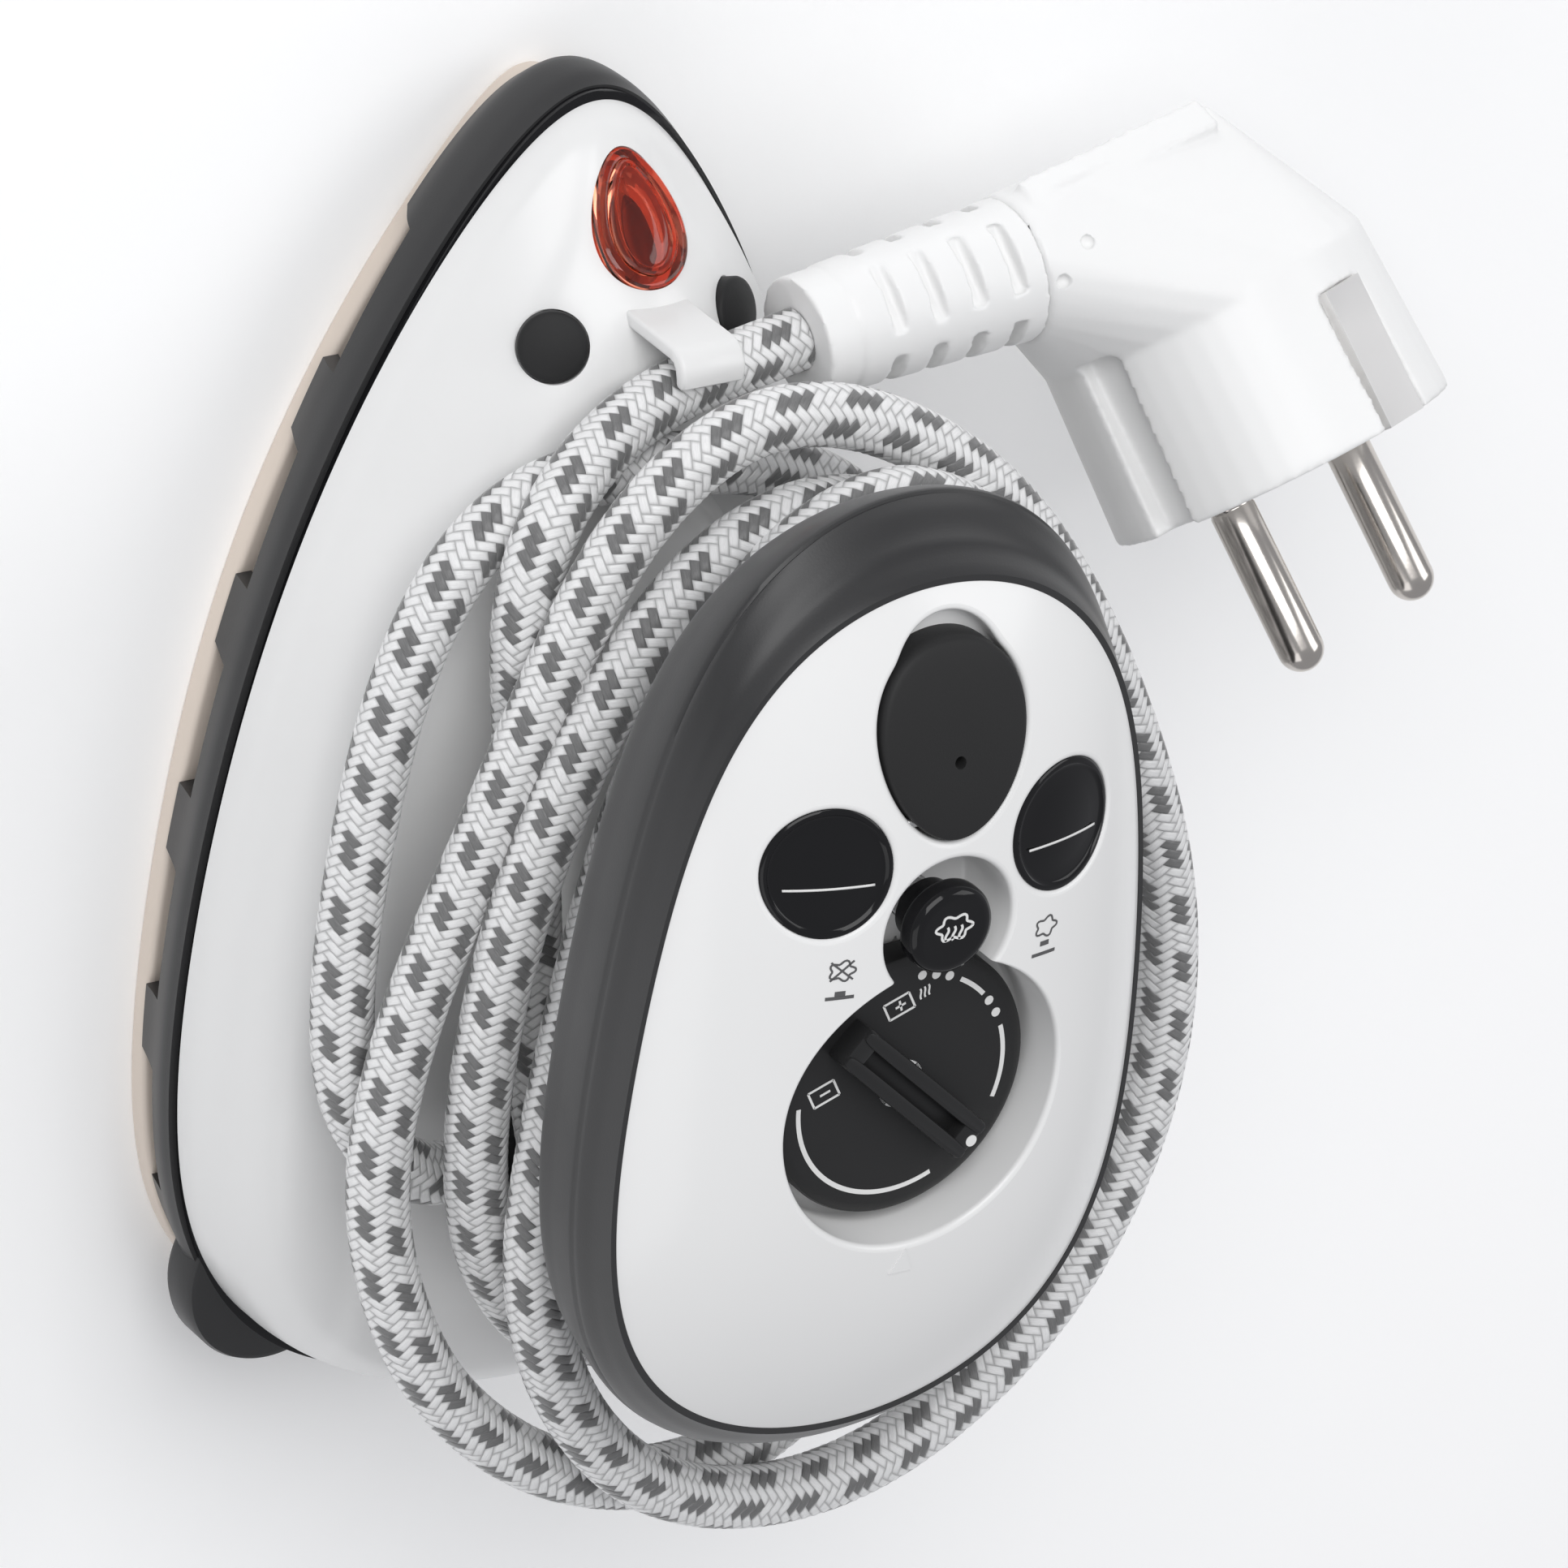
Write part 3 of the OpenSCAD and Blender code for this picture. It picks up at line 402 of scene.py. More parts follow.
@dataclass(frozen=True)
class Finish:
    """A moulded, cast or plated surface.

    colour is linear; shift is how far the second colour stands from it; grain_size,
    grain_height and the height over which the colour turns near-black (painted shade for the
    dark cavity seen through the skirt's slots) are millimetres; glow lifts a studio paper.
    """

    name: str
    colour: tuple[float, float, float]
    rough: float
    metal: float = 0.0
    shift: float = 0.06
    rough_shift: float = 0.06
    grain: Grain = Grain.FINE
    grain_size: float = 0.35
    grain_height: float = 0.01
    coat: float = 0.0
    clear: float = 0.0
    refraction: float = 1.5
    sheen: float = 0.0
    scatter: float = 0.0
    shine: float = 0.5
    glow: float = 0.0
    painted_shade_above: float | None = None

    def material(self) -> bpy.types.Material:
        """The node material, made once and then reused."""
        found = bpy.data.materials.get(self.name)
        if found:
            return found
        made = bpy.data.materials.new(self.name)
        made.use_nodes = True
        net = Net(made)
        place = net.add("ShaderNodeTexCoord").outputs["Object"]
        broad = net.noise(place, 45.0, 3.0)
        if self.grain is Grain.BRUSHED:
            place_fine = net.stretch(place, (1.0, 1.0, 0.06))
            fine = net.noise(place_fine, 1000 / self.grain_size, 2.0)
        else:
            fine = net.noise(place, 1000 / self.grain_size, 2.0)
        dark = tuple(max(c * (1 - self.shift), 0) for c in self.colour)
        light = tuple(min(c * (1 + self.shift), 1) for c in self.colour)
        if self.grain is Grain.FLECKED:
            flecks = net.flecks(place, 1000 / self.grain_size)
            colour = net.mix_colour(flecks, dark, light)
        else:
            colour = net.mix_colour(broad, dark, light)
        shader = net.shader
        # Over that height the colour turns near-black: painted shade for the cavity behind the skirt's
        # slots.
        if self.painted_shade_above is not None:
            split = net.add("ShaderNodeSeparateXYZ")
            net.link(place, split.inputs["Vector"])
            above = net.math("GREATER_THAN", split.outputs["Z"], self.painted_shade_above * MM)
            colour = net.mix_colour(above, colour, SLOT_CAVITY_PAINTED_SHADE)
        net.link(colour, shader.inputs["Base Color"])
        net.link(
            net.span(broad, self.rough - self.rough_shift, self.rough + self.rough_shift),
            shader.inputs["Roughness"])
        bump = net.add("ShaderNodeBump")
        bump.inputs["Strength"].default_value = 0.6
        bump.inputs["Distance"].default_value = self.grain_height * MM
        net.link(fine, bump.inputs["Height"])
        net.link(bump.outputs["Normal"], shader.inputs["Normal"])
        for socket, value in (("Metallic", self.metal), ("Specular IOR Level", self.shine),
                              ("Coat Weight", self.coat), ("Coat Roughness", 0.06),
                              ("Transmission Weight", self.clear), ("IOR", self.refraction),
                              ("Sheen Weight", self.sheen)):
            shader.inputs[socket].default_value = value
        if self.glow:
            shader.inputs["Emission Strength"].default_value = self.glow
            shader.inputs["Emission Color"].default_value = (1, 1, 1, 1)
        if self.scatter:
            shader.inputs["Subsurface Weight"].default_value = self.scatter
            shader.inputs["Subsurface Scale"].default_value = 0.6 * MM
        return made


class Net:
    """A small builder for a material's nodes."""

    def __init__(self, material: bpy.types.Material) -> None:
        """Starts from the material's own shader."""
        self.tree = material.node_tree
        self.shader = next(n for n in self.tree.nodes if n.type == "BSDF_PRINCIPLED")

    def add(self, kind: str) -> bpy.types.Node:
        """A new node."""
        return self.tree.nodes.new(kind)

    def link(self, a: bpy.types.NodeSocket, b: bpy.types.NodeSocket) -> None:
        """Joins an output to an input."""
        self.tree.links.new(a, b)

    def noise(self, place: bpy.types.NodeSocket, scale: float, detail: float) -> bpy.types.NodeSocket:
        """Noise from 0 to 1 at a scale in cells a metre."""
        node = self.add("ShaderNodeTexNoise")
        node.inputs["Scale"].default_value = scale
        node.inputs["Detail"].default_value = detail
        self.link(place, node.inputs["Vector"])
        return node.outputs["Fac"]

    def flecks(self, place: bpy.types.NodeSocket, scale: float) -> bpy.types.NodeSocket:
        """A random value for each small cell."""
        node = self.add("ShaderNodeTexVoronoi")
        node.inputs["Scale"].default_value = scale
        self.link(place, node.inputs["Vector"])
        split = self.add("ShaderNodeSeparateColor")
        self.link(node.outputs["Color"], split.inputs["Color"])
        return split.outputs["Red"]

    def stretch(self, place: bpy.types.NodeSocket,
                scale: tuple[float, float, float]) -> bpy.types.NodeSocket:
        """The place with each axis scaled."""
        node = self.add("ShaderNodeMapping")
        node.inputs["Scale"].default_value = scale
        self.link(place, node.inputs["Vector"])
        return node.outputs["Vector"]

    def mix_colour(self, share: bpy.types.NodeSocket, low: bpy.types.NodeSocket | tuple[float, ...],
                   high: bpy.types.NodeSocket | tuple[float, ...]) -> bpy.types.NodeSocket:
        """A colour between low and high, each a plain colour or a socket."""
        node = self.add("ShaderNodeMix")
        node.data_type = "RGBA"
        self.link(share, node.inputs[0])
        for slot, colour in zip((node.inputs[6], node.inputs[7]), (low, high)):
            if isinstance(colour, tuple):
                slot.default_value = (*colour, 1)
            else:
                self.link(colour, slot)
        return node.outputs[2]

    def span(self, value: bpy.types.NodeSocket, low: float, high: float) -> bpy.types.NodeSocket:
        """A value's 0.3 to 0.7 spread onto low to high."""
        node = self.add("ShaderNodeMapRange")
        node.inputs["From Min"].default_value = 0.3
        node.inputs["From Max"].default_value = 0.7
        node.inputs["To Min"].default_value = max(low, 0.02)
        node.inputs["To Max"].default_value = high
        self.link(value, node.inputs["Value"])
        return node.outputs["Result"]

    def math(self, kind: str, a: bpy.types.NodeSocket | float, b: bpy.types.NodeSocket | float = 0.0,
             c: bpy.types.NodeSocket | float = 0.0) -> bpy.types.NodeSocket:
        """One sum on sockets or plain numbers."""
        node = self.add("ShaderNodeMath")
        node.operation = kind
        for slot, value in zip(node.inputs, (a, b, c)):
            if isinstance(value, (int, float)):
                slot.default_value = value
            else:
                self.link(value, slot)
        return node.outputs[0]


# Its top face is painted near-black: painted shade in the cavity seen through the skirt's slots.
CERAMIC = Finish("ceramic_sole", (0.52, 0.42, 0.34), 0.3, grain=Grain.FLECKED, shift=0.12,
                 grain_size=0.25, grain_height=0.006, painted_shade_above=SOLE_TOP - 0.12)
SKIRT_GREY = Finish("skirt_plastic", (0.03, 0.03, 0.031), 0.42, grain_height=0.012, shine=0.35)
BLACK_GLOSS = Finish("black_gloss_plastic", (0.008, 0.008, 0.009), 0.09, rough_shift=0.03,
                     grain_size=1.5, grain_height=0.002, shine=0.28)
SHELL_WHITE = Finish("shell_white", (0.77, 0.77, 0.765), 0.3, shift=0.01, rough_shift=0.012,
                     grain_size=0.9, grain_height=0.003, shine=0.45)
COVER_WHITE = Finish("cover_white", (0.80, 0.80, 0.795), 0.2, shift=0.008, rough_shift=0.012,
                     grain_size=2.5, grain_height=0.003, shine=0.45)
RUBBER_BLACK = Finish("grip_rubber", (0.023, 0.023, 0.024), 0.42, grain_size=0.25,
                      grain_height=0.014, sheen=0.08, shine=0.45)
CAP_RUBBER = Finish("cap_rubber", (0.014, 0.014, 0.0145), 0.6, grain_size=0.22,
                    grain_height=0.018, sheen=0.04, shine=0.3)
DIAL_BLACK = Finish("dial_plastic", (0.016, 0.016, 0.0165), 0.36, grain_height=0.01, shine=0.35)
PRINT_WHITE = Finish("printed_white", (0.75, 0.75, 0.74), 0.5)
PRINT_GREY = Finish("printed_grey", (0.09, 0.09, 0.092), 0.5)
LENS_RED = Finish("lens_red", (1.0, 0.30, 0.18), 0.04, rough_shift=0.01, shift=0.03,
                  grain_size=3.0, grain_height=0.002, clear=1.0, refraction=1.49)
LAMP_PALE = Finish("lamp_cup", (0.85, 0.62, 0.58), 0.35, shift=0.08)
LAMP_DARK = Finish("lamp_well", (0.10, 0.03, 0.025), 0.3, shift=0.3)
NICKEL = Finish("pin_nickel", (0.60, 0.565, 0.53), 0.2, metal=1.0, grain=Grain.BRUSHED,
                grain_size=0.3, grain_height=0.006)
# Nickel lightened to near-white, paler than the pins' nickel: painted reflection of the white surroundings
# on the earth clips.
CLIP_NICKEL_PAINTED_REFLECTION = Finish("clip_nickel_painted_reflection", (0.86, 0.85, 0.84), 0.32, metal=0.85, grain=Grain.BRUSHED,
                     grain_size=0.3, grain_height=0.006)
STEEL = Finish("plain_steel", (0.55, 0.55, 0.55), 0.3, metal=1.0, grain=Grain.BRUSHED,
               grain_size=0.4, grain_height=0.008)
CAST_ALLOY = Finish("cast_alloy", (0.55, 0.56, 0.57), 0.42, metal=1.0, grain_size=0.6,
                    grain_height=0.03)
PLUG_WHITE = Finish("plug_white", (0.86, 0.86, 0.855), 0.4, shift=0.01, rough_shift=0.02,
                    grain_size=0.4, grain_height=0.006)
TANK_CLEAR = Finish("tank_clear", (0.8, 0.85, 0.9), 0.08, clear=0.8, refraction=1.45)
SEAL_RED = Finish("seal_silicone", (0.45, 0.12, 0.07), 0.5)
WIRE_BLUE = Finish("wire_jacket", (0.05, 0.12, 0.5), 0.45)
CERAMIC_PALE = Finish("pale_ceramic", (0.68, 0.6, 0.45), 0.55, grain_height=0.03)
LAMP_GLASS = Finish("lamp_glass", (0.95, 0.7, 0.5), 0.05, clear=0.7)


def dress(piece: bpy.types.Object, finish: Finish) -> None:
    """Gives a piece one finish all over."""
    piece.data.materials.clear()
    piece.data.materials.append(finish.material())


def fit(piece: bpy.types.Object, finish: Finish, slot: str, body: str, *nodes: str) -> None:
    """Dresses a piece, puts it on its body in place of its frame nodes, and logs it."""
    dress(piece, finish)
    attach(piece, body)
    if nodes:
        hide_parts(*nodes)
    LOG.info("%s: %d faces on %s", piece.name, len(piece.data.polygons), body)


# ---- Camera, floor and light -------------------------------------------------------


@dataclass
class Studio:
    """The camera, a pale floor and soft light."""

    back: tuple[float, float, float] = (-0.5252, 0.4651, 0.7126)
    right: tuple[float, float, float] = (0.832, 0.107, 0.544)
    place: tuple[float, float, float] = (-790.6, 718.1, 1130.2)
    lens: float = 353.4
    sensor: float = 36.0
    floor_half: float = 6000.0

    def camera(self) -> None:
        """A long lens turned so that the iron stands on its heel corner in the frame."""
        back = Vector(self.back).normalized()
        right = (Vector(self.right) - back * back.dot(Vector(self.right))).normalized()
        up = back.cross(right)
        data = bpy.data.cameras.new("camera")
        data.lens, data.sensor_width = self.lens, self.sensor
        data.clip_start, data.clip_end = 0.05, 50
        camera = bpy.data.objects.new("camera", data)
        turn = Matrix((right, up, back)).transposed().to_4x4()
        camera.matrix_world = Matrix.Translation(Vector(self.place) * MM) @ turn
        bpy.context.scene.collection.objects.link(camera)
        bpy.context.scene.camera = camera

    def floor(self) -> None:
        """A wide plain floor just under the sole."""
        s, low = self.floor_half, -0.05
        corners = np.array([(-s, -s, low), (s, -s, low), (s, s, low), (-s, s, low)])
        piece = make_piece("floor", corners, [[0, 1, 2, 3]])
        dress(piece, Finish("floor_paper", (0.97, 0.97, 0.97), 0.8, shift=0.004,
                            rough_shift=0.02, glow=0.085))

    def lamp(self, name: str, direction: tuple[float, float, float], distance: float,
             size: float, power: float) -> None:
        """A square soft light that looks at the iron's middle."""
        data = bpy.data.lights.new(name, "AREA")
        data.shape, data.size, data.energy = "SQUARE", size, power
        lamp = bpy.data.objects.new(name, data)
        target = Vector((0, 0, 0.04))
        away = Vector(direction).normalized()
        lamp.location = target + away * distance
        lamp.rotation_mode = "QUATERNION"
        lamp.rotation_quaternion = away.to_track_quat("Z", "Y")
        bpy.context.scene.collection.objects.link(lamp)

    def light(self) -> None:
        """A broad key over the camera, a side fill and a pale surround."""
        self.lamp("key", (-0.45, 0.95, 1.0), 1.3, 0.9, 9.5)
        self.lamp("fill", (-1.0, -0.6, 0.8), 1.6, 1.2, 4.5)
        self.lamp("rim_light", (0.9, 0.5, 0.9), 1.4, 0.7, 3.5)
        world = bpy.data.worlds.new("surround")
        world.use_nodes = True
        sky = world.node_tree.nodes["Background"]
        sky.inputs["Color"].default_value = (0.95, 0.96, 1.0, 1)
        sky.inputs["Strength"].default_value = 0.42
        bpy.context.scene.world = world
        bpy.context.scene.view_settings.view_transform = "Standard"

    def build(self) -> None:
        """Camera, floor and light."""
        self.camera()
        self.floor()
        self.light()


# ---- Cord and plug --------------------------------------------------------------------


@dataclass
class TextileCord:
    """The wound cord: a braid of 24 plaits, 12 each way, on one long route.

    lay is how far a plait travels in one turn round the cord.
    """

    diameter: float = 6.4
    lay: float = 13.6
    sides: int = 36
    step: float = 0.5
    plait_height: float = 0.11
    carriers: int = 12
    route: tuple[tuple[float, float, float], ...] = (
        (-18.9, -30.2, 40), (-27, -29.5, 39.6), (-34, -21, 38.6), (-36, -8, 37.8),
        (-35, 8, 37), (-31.5, 24, 35.5), (-24.5, 36, 33.8), (-15, 42, 33.6), (-4, 43, 35.2),
        (9, 41.5, 36.5), (20, 35, 37.6), (28, 23, 38.2), (32, 6, 38.4), (32, -12, 38.6),
        (28, -30, 39.5), (17, -45, 41.5), (2, -51, 43.5),
        (-12, -48, 45.5), (-22, -36, 47.5), (-26.5, -20, 49.6), (-26.5, -2, 50.8),
        (-23, 14, 51), (-17, 28, 50.8), (-8, 39, 50.3),
        (4, 44, 50), (17, 40, 49.4), (28, 29, 48.6), (35, 12, 48), (38.5, -8, 47.6),
        (37, -28, 48), (29, -46, 49.5), (16, -59.5, 50.8), (3, -64.5, 51.2),
        (-12, -62, 50), (-25, -52, 48), (-32.5, -38, 46.4), (-35, -22, 45.4),
        (-32, -4, 45.6), (-27, 12, 46.6), (-21.5, 28, 46.8), (-14, 42.5, 46),
        (-2, 52, 46), (11, 52, 48.5), (24, 44, 52), (34, 31, 54.8), (42.5, 14, 56.6),
        (48.5, -3, 57.4), (50.5, -20, 57.6), (47.5, -37, 57.6), (38.5, -52.5, 57.5),
        (24, -63, 57.4), (8.5, -65.5, 57.2),
        (-6.5, -60.5, 57), (-17.5, -48, 56.8), (-22.5, -33, 56.4), (-21.5, -17, 55.4),
        (-18.7, 0, 54.4), (-15.2, 16, 54), (-9.5, 30.5, 54), (-1, 42, 54.8),
        (10, 47, 55.6), (21, 42, 55.6), (31, 30.5, 54.8), (38, 14, 53.8), (41.5, -6, 54),
        (40, -25, 54.4), (33, -42.5, 55), (20.5, -54, 55), (6, -56.5, 54),
        (-5.5, -49, 51.2), (-12, -36, 48.2), (-15.8, -22, 45.6), (-17.4, -6, 43),
        (-18.4, 9, 41), (-20, 24, 40), (-21, 32, 40.2), (-19.5, 39.5, 39.6),
        (-14.5, 45, 37.4), (-7, 48.8, 35), (2, 50.9, 33.4), (13, 52.9, 33.2))

    def centreline(self) -> np.ndarray:
        """The route as an even, softened curve."""
        curve = spline(np.array(self.route), 12, rounds=24)
        length = np.linalg.norm(np.diff(curve, axis=0), axis=1).sum()
        return resample(curve, int(length / self.step))

    def weave(self, around: np.ndarray, along: np.ndarray) -> np.ndarray:
        """Plait height from 0 to 1.

        One way's plaits count along turns + length / lay, the other way's along their
        difference. Two plaits pass over two: the top one follows the count of both.

        Args:
            around: turns round the cord.
            along: millimetres along it.

        Returns:
            The product of a round crown across the plait and a dip where it ends.
        """
        a = self.carriers * (around + along / self.lay)
        b = self.carriers * (around - along / self.lay)
        first = (np.floor(a) + np.floor(b)) % 4 < 2
        run = np.where(first, (np.floor(a) + b) % 4, (a + np.floor(b)) % 4 - 2)
        across = np.where(first, a % 1, b % 1)
        crown = 1 - (2 * across - 1) ** 4
        dip = np.sin(np.pi * np.clip(run / 2, 0, 1)) ** 0.6
        return crown * dip

    def tube(self, path: np.ndarray) -> bpy.types.Object:
        """The braided tube on a path, with its own UV map in turns and millimetres / lay."""
        ahead = np.gradient(path, axis=0)
        ahead /= np.linalg.norm(ahead, axis=1)[:, None]
        side = np.cross(ahead, (0.0, 0.0, 1.0))
        side /= np.linalg.norm(side, axis=1)[:, None]
        over = np.cross(side, ahead)
        turn = np.arange(self.sides) / self.sides
        steps = np.linalg.norm(np.diff(path, axis=0), axis=1)
        along = np.concatenate([[0], np.cumsum(steps)])
        height = self.weave(turn[None, :], along[:, None])
        radius = self.diameter / 2 + self.plait_height * (height - 0.6)
        angle = TAU * turn
        out = (np.cos(angle)[None, :, None] * side[:, None, :]
               + np.sin(angle)[None, :, None] * over[:, None, :])
        rings = path[:, None, :] + radius[:, :, None] * out
        rings = rings[:, ::-1] if np.dot(np.cross(out[0, 0], out[0, 1]), ahead[0]) < 0 else rings
        piece = loft("textile_cord", rings, sharp=180)
        layer = piece.data.uv_layers.new(name="braid")
        n, m = self.sides, len(path)
        k, i = np.meshgrid(np.arange(m - 1), np.arange(n), indexing="ij")
        corner_u = np.stack([i, i + 1, i + 1, i], axis=-1) / n
        corner_v = np.stack([along[k], along[k], along[k + 1], along[k + 1]], axis=-1) / self.lay
        uv = np.stack([corner_u, corner_v], axis=-1).reshape(-1)
        caps = np.zeros(len(layer.data) * 2 - len(uv))
        layer.data.foreach_set("uv", np.concatenate([uv, caps]))
        return piece

    def material(self) -> bpy.types.Material:
        """White plaits with runs of three grey ones in every six of one way.

        The sums repeat weave() on the braid map, so colour and relief agree.
        """
        made = bpy.data.materials.new("braid_yarn")
        made.use_nodes = True
        net = Net(made)
        source = net.add("ShaderNodeUVMap")
        source.uv_map = "braid"
        split = net.add("ShaderNodeSeparateXYZ")
        net.link(source.outputs["UV"], split.inputs["Vector"])
        u, v = split.outputs["X"], split.outputs["Y"]
        a = net.math("MULTIPLY", net.math("ADD", u, v), self.carriers)
        b = net.math("MULTIPLY", net.math("SUBTRACT", u, v), self.carriers)
        fa, fb = net.math("FLOOR", a), net.math("FLOOR", b)
        both = net.math("FLOORED_MODULO", net.math("ADD", fa, fb), 4.0)
        first = net.math("LESS_THAN", both, 1.5)
        second = net.math("SUBTRACT", 1.0, first)
        run_a = net.math("FLOORED_MODULO", net.math("ADD", fa, b), 4.0)
        run_b = net.math("SUBTRACT", net.math("FLOORED_MODULO", net.math("ADD", a, fb), 4.0), 2.0)
        run = net.math("ADD", net.math("MULTIPLY", run_a, first), net.math("MULTIPLY", run_b, second))
        across = net.math("ADD", net.math("MULTIPLY", net.math("FRACT", a), first),
                          net.math("MULTIPLY", net.math("FRACT", b), second))
        edge = net.math("POWER", net.math("ABSOLUTE", net.math("MULTIPLY_ADD", across, 2.0, -1.0)), 4.0)
        crown = net.math("SUBTRACT", 1.0, edge)
        dip = net.math("POWER", net.math("MAXIMUM", net.math(
            "SINE", net.math("MULTIPLY", run, math.pi / 2)), 0.0001), 0.6)
        height = net.math("MULTIPLY", crown, dip)
        yarn = net.add("ShaderNodeTexNoise")
        yarn.inputs["Scale"].default_value = 1.0
        fibre = net.add("ShaderNodeCombineXYZ")
        net.link(net.math("MULTIPLY", across, 14.0), fibre.inputs["X"])
        net.link(net.math("MULTIPLY", run, 0.7), fibre.inputs["Y"])
        net.link(net.math("ADD", fa, net.math("MULTIPLY", fb, 7.3)), fibre.inputs["Z"])
        net.link(fibre.outputs["Vector"], yarn.inputs["Vector"])
        threads = yarn.outputs["Fac"]
        in_six = net.math("FLOORED_MODULO", fa, 6.0)
        grey = net.math("MULTIPLY", net.math("LESS_THAN", in_six, 2.5), first)
        white = net.mix_colour(threads, (0.66, 0.66, 0.66), (0.92, 0.92, 0.92))
        dark = net.mix_colour(threads, (0.10, 0.10, 0.10), (0.22, 0.22, 0.22))
        # Colour darkens towards grey where a plait dips under the next: painted shade in the gaps between
        # plaits.
        open_light = net.math("MINIMUM", net.math("MULTIPLY_ADD", height, 0.9, 0.42), 1.0)
        shaded = net.mix_colour(open_light, (0.16, 0.16, 0.16), net.mix_colour(grey, white, dark))
        net.link(shaded, net.shader.inputs["Base Color"])
        net.shader.inputs["Roughness"].default_value = 0.36
        net.shader.inputs["Sheen Weight"].default_value = 0.35
        net.shader.inputs["Sheen Roughness"].default_value = 0.4
        bump = net.add("ShaderNodeBump")
        bump.inputs["Distance"].default_value = 0.16 * MM
        bump.inputs["Strength"].default_value = 0.9
        net.link(net.math("ADD", height, net.math("MULTIPLY", threads, 0.22)), bump.inputs["Height"])
        net.link(bump.outputs["Normal"], net.shader.inputs["Normal"])
        return made

    def build(self, on_cord: list[bpy.types.Object]) -> None:
        """The cord, from its gland to the plug's relief.

        Args:
            on_cord: the plug and the pieces that go with it; not used.
        """
        path = self.centreline()
        piece = self.tube(path)
        piece.data.materials.append(self.material())
        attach(piece, BODY)
        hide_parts("cord_coil", "cord_tail")


@dataclass
class MainsPlug:
    """The angled earthed plug, its relief, pins and clips."""

    place: Matrix = field(default_factory=lambda: stand(67, 34, 43.8, (233.5, 19.6, 4.7)))
    pin_radius: float = 2.4
    pin_length: float = 19.0
    spacing: float = 19.0

    def pins(self) -> list[bpy.types.Object]:
        """Two plated pins with round tips and a fine ring where they leave the face."""
        t = np.linspace(0, math.pi / 2, 10)
        tip = [(self.pin_radius * math.sin(a), -self.pin_length + self.pin_radius * (1 - math.cos(a)))
               for a in t]
        profile = np.array([(0, tip[0][1])] + tip + [(self.pin_radius, -1.2), (2.3, -1.0),
                                                     (2.3, -0.8), (self.pin_radius, -0.6),
                                                     (self.pin_radius, 8), (0, 8)])
        spots = [self.place @ Matrix.Translation((side * self.spacing / 2, 0, 0)) for side in (-1, 1)]
        return [turned(f"pin_{k}", profile, spot, 48) for k, spot in enumerate(spots)]

    def dimples(self) -> list[bpy.types.Object]:
        """Cutters for three small round marks near the cord's end."""
        away = Vector((-0.3, 0.45, 0.84)).normalized()
        turn = away.to_track_quat("Z", "Y").to_matrix().to_4x4()
        profile = np.array([(0, -0.7), (0.5, -0.7), (0.72, -0.4), (0.72, 2.0), (0, 2.0)])
        spots = ((37.9, 61.2, 35.2), (42.04, 61.46, 39.79), (38.83, 58.25, 40.95))
        return [turned("dimple", profile, Matrix.Translation(spot) @ turn, 24) for spot in spots]

    def grip(self) -> bpy.types.Object:
        """The raised pull bar along the broad face's far edge."""
        start, end = np.array((38.5, 63.6, 33.6)), np.array((62.5, 66.9, 29.6))
        along = (end - start) / np.linalg.norm(end - start)
        up = np.array((0.0, 0.93, 0.367))
        up = (up - along * (up @ along)) / np.linalg.norm(up - along * (up @ along))
        side = np.cross(along, up)
        ring = np.array([(-1.9, -2.0), (1.9, -2.0), (1.9, 1.15), (-1.9, 1.15)])
        rows = np.stack([point + ring[:, :1] * side + ring[:, 1:] * up for point in (start, end)])
        return loft("pull_bar", rows)

    def build(self) -> list[bpy.types.Object]:
        """The plug's pieces, in place of their frame nodes."""
        body = soft_copy("plug_shell", "plug_body", 0.36, 5, [self.grip()])
        cut(body, self.dimples(), sharp=180)
        fit(body, PLUG_WHITE, "white_matte", BODY, "plug_body")
        relief = soft_copy("strain_relief", "plug_relief", 0.26, 3)
        fit(relief, PLUG_WHITE, "white_matte", BODY, "plug_relief")
        pins = joined("plug_prongs", self.pins())
        fit(pins, NICKEL, "nickel", BODY, "plug_pins")
        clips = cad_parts["earth_clips"]
        dress(clips, CLIP_NICKEL_PAINTED_REFLECTION)
        return [body, relief, pins, clips]


# ---- Sole, skirt and body -----------------------------------------------------------------


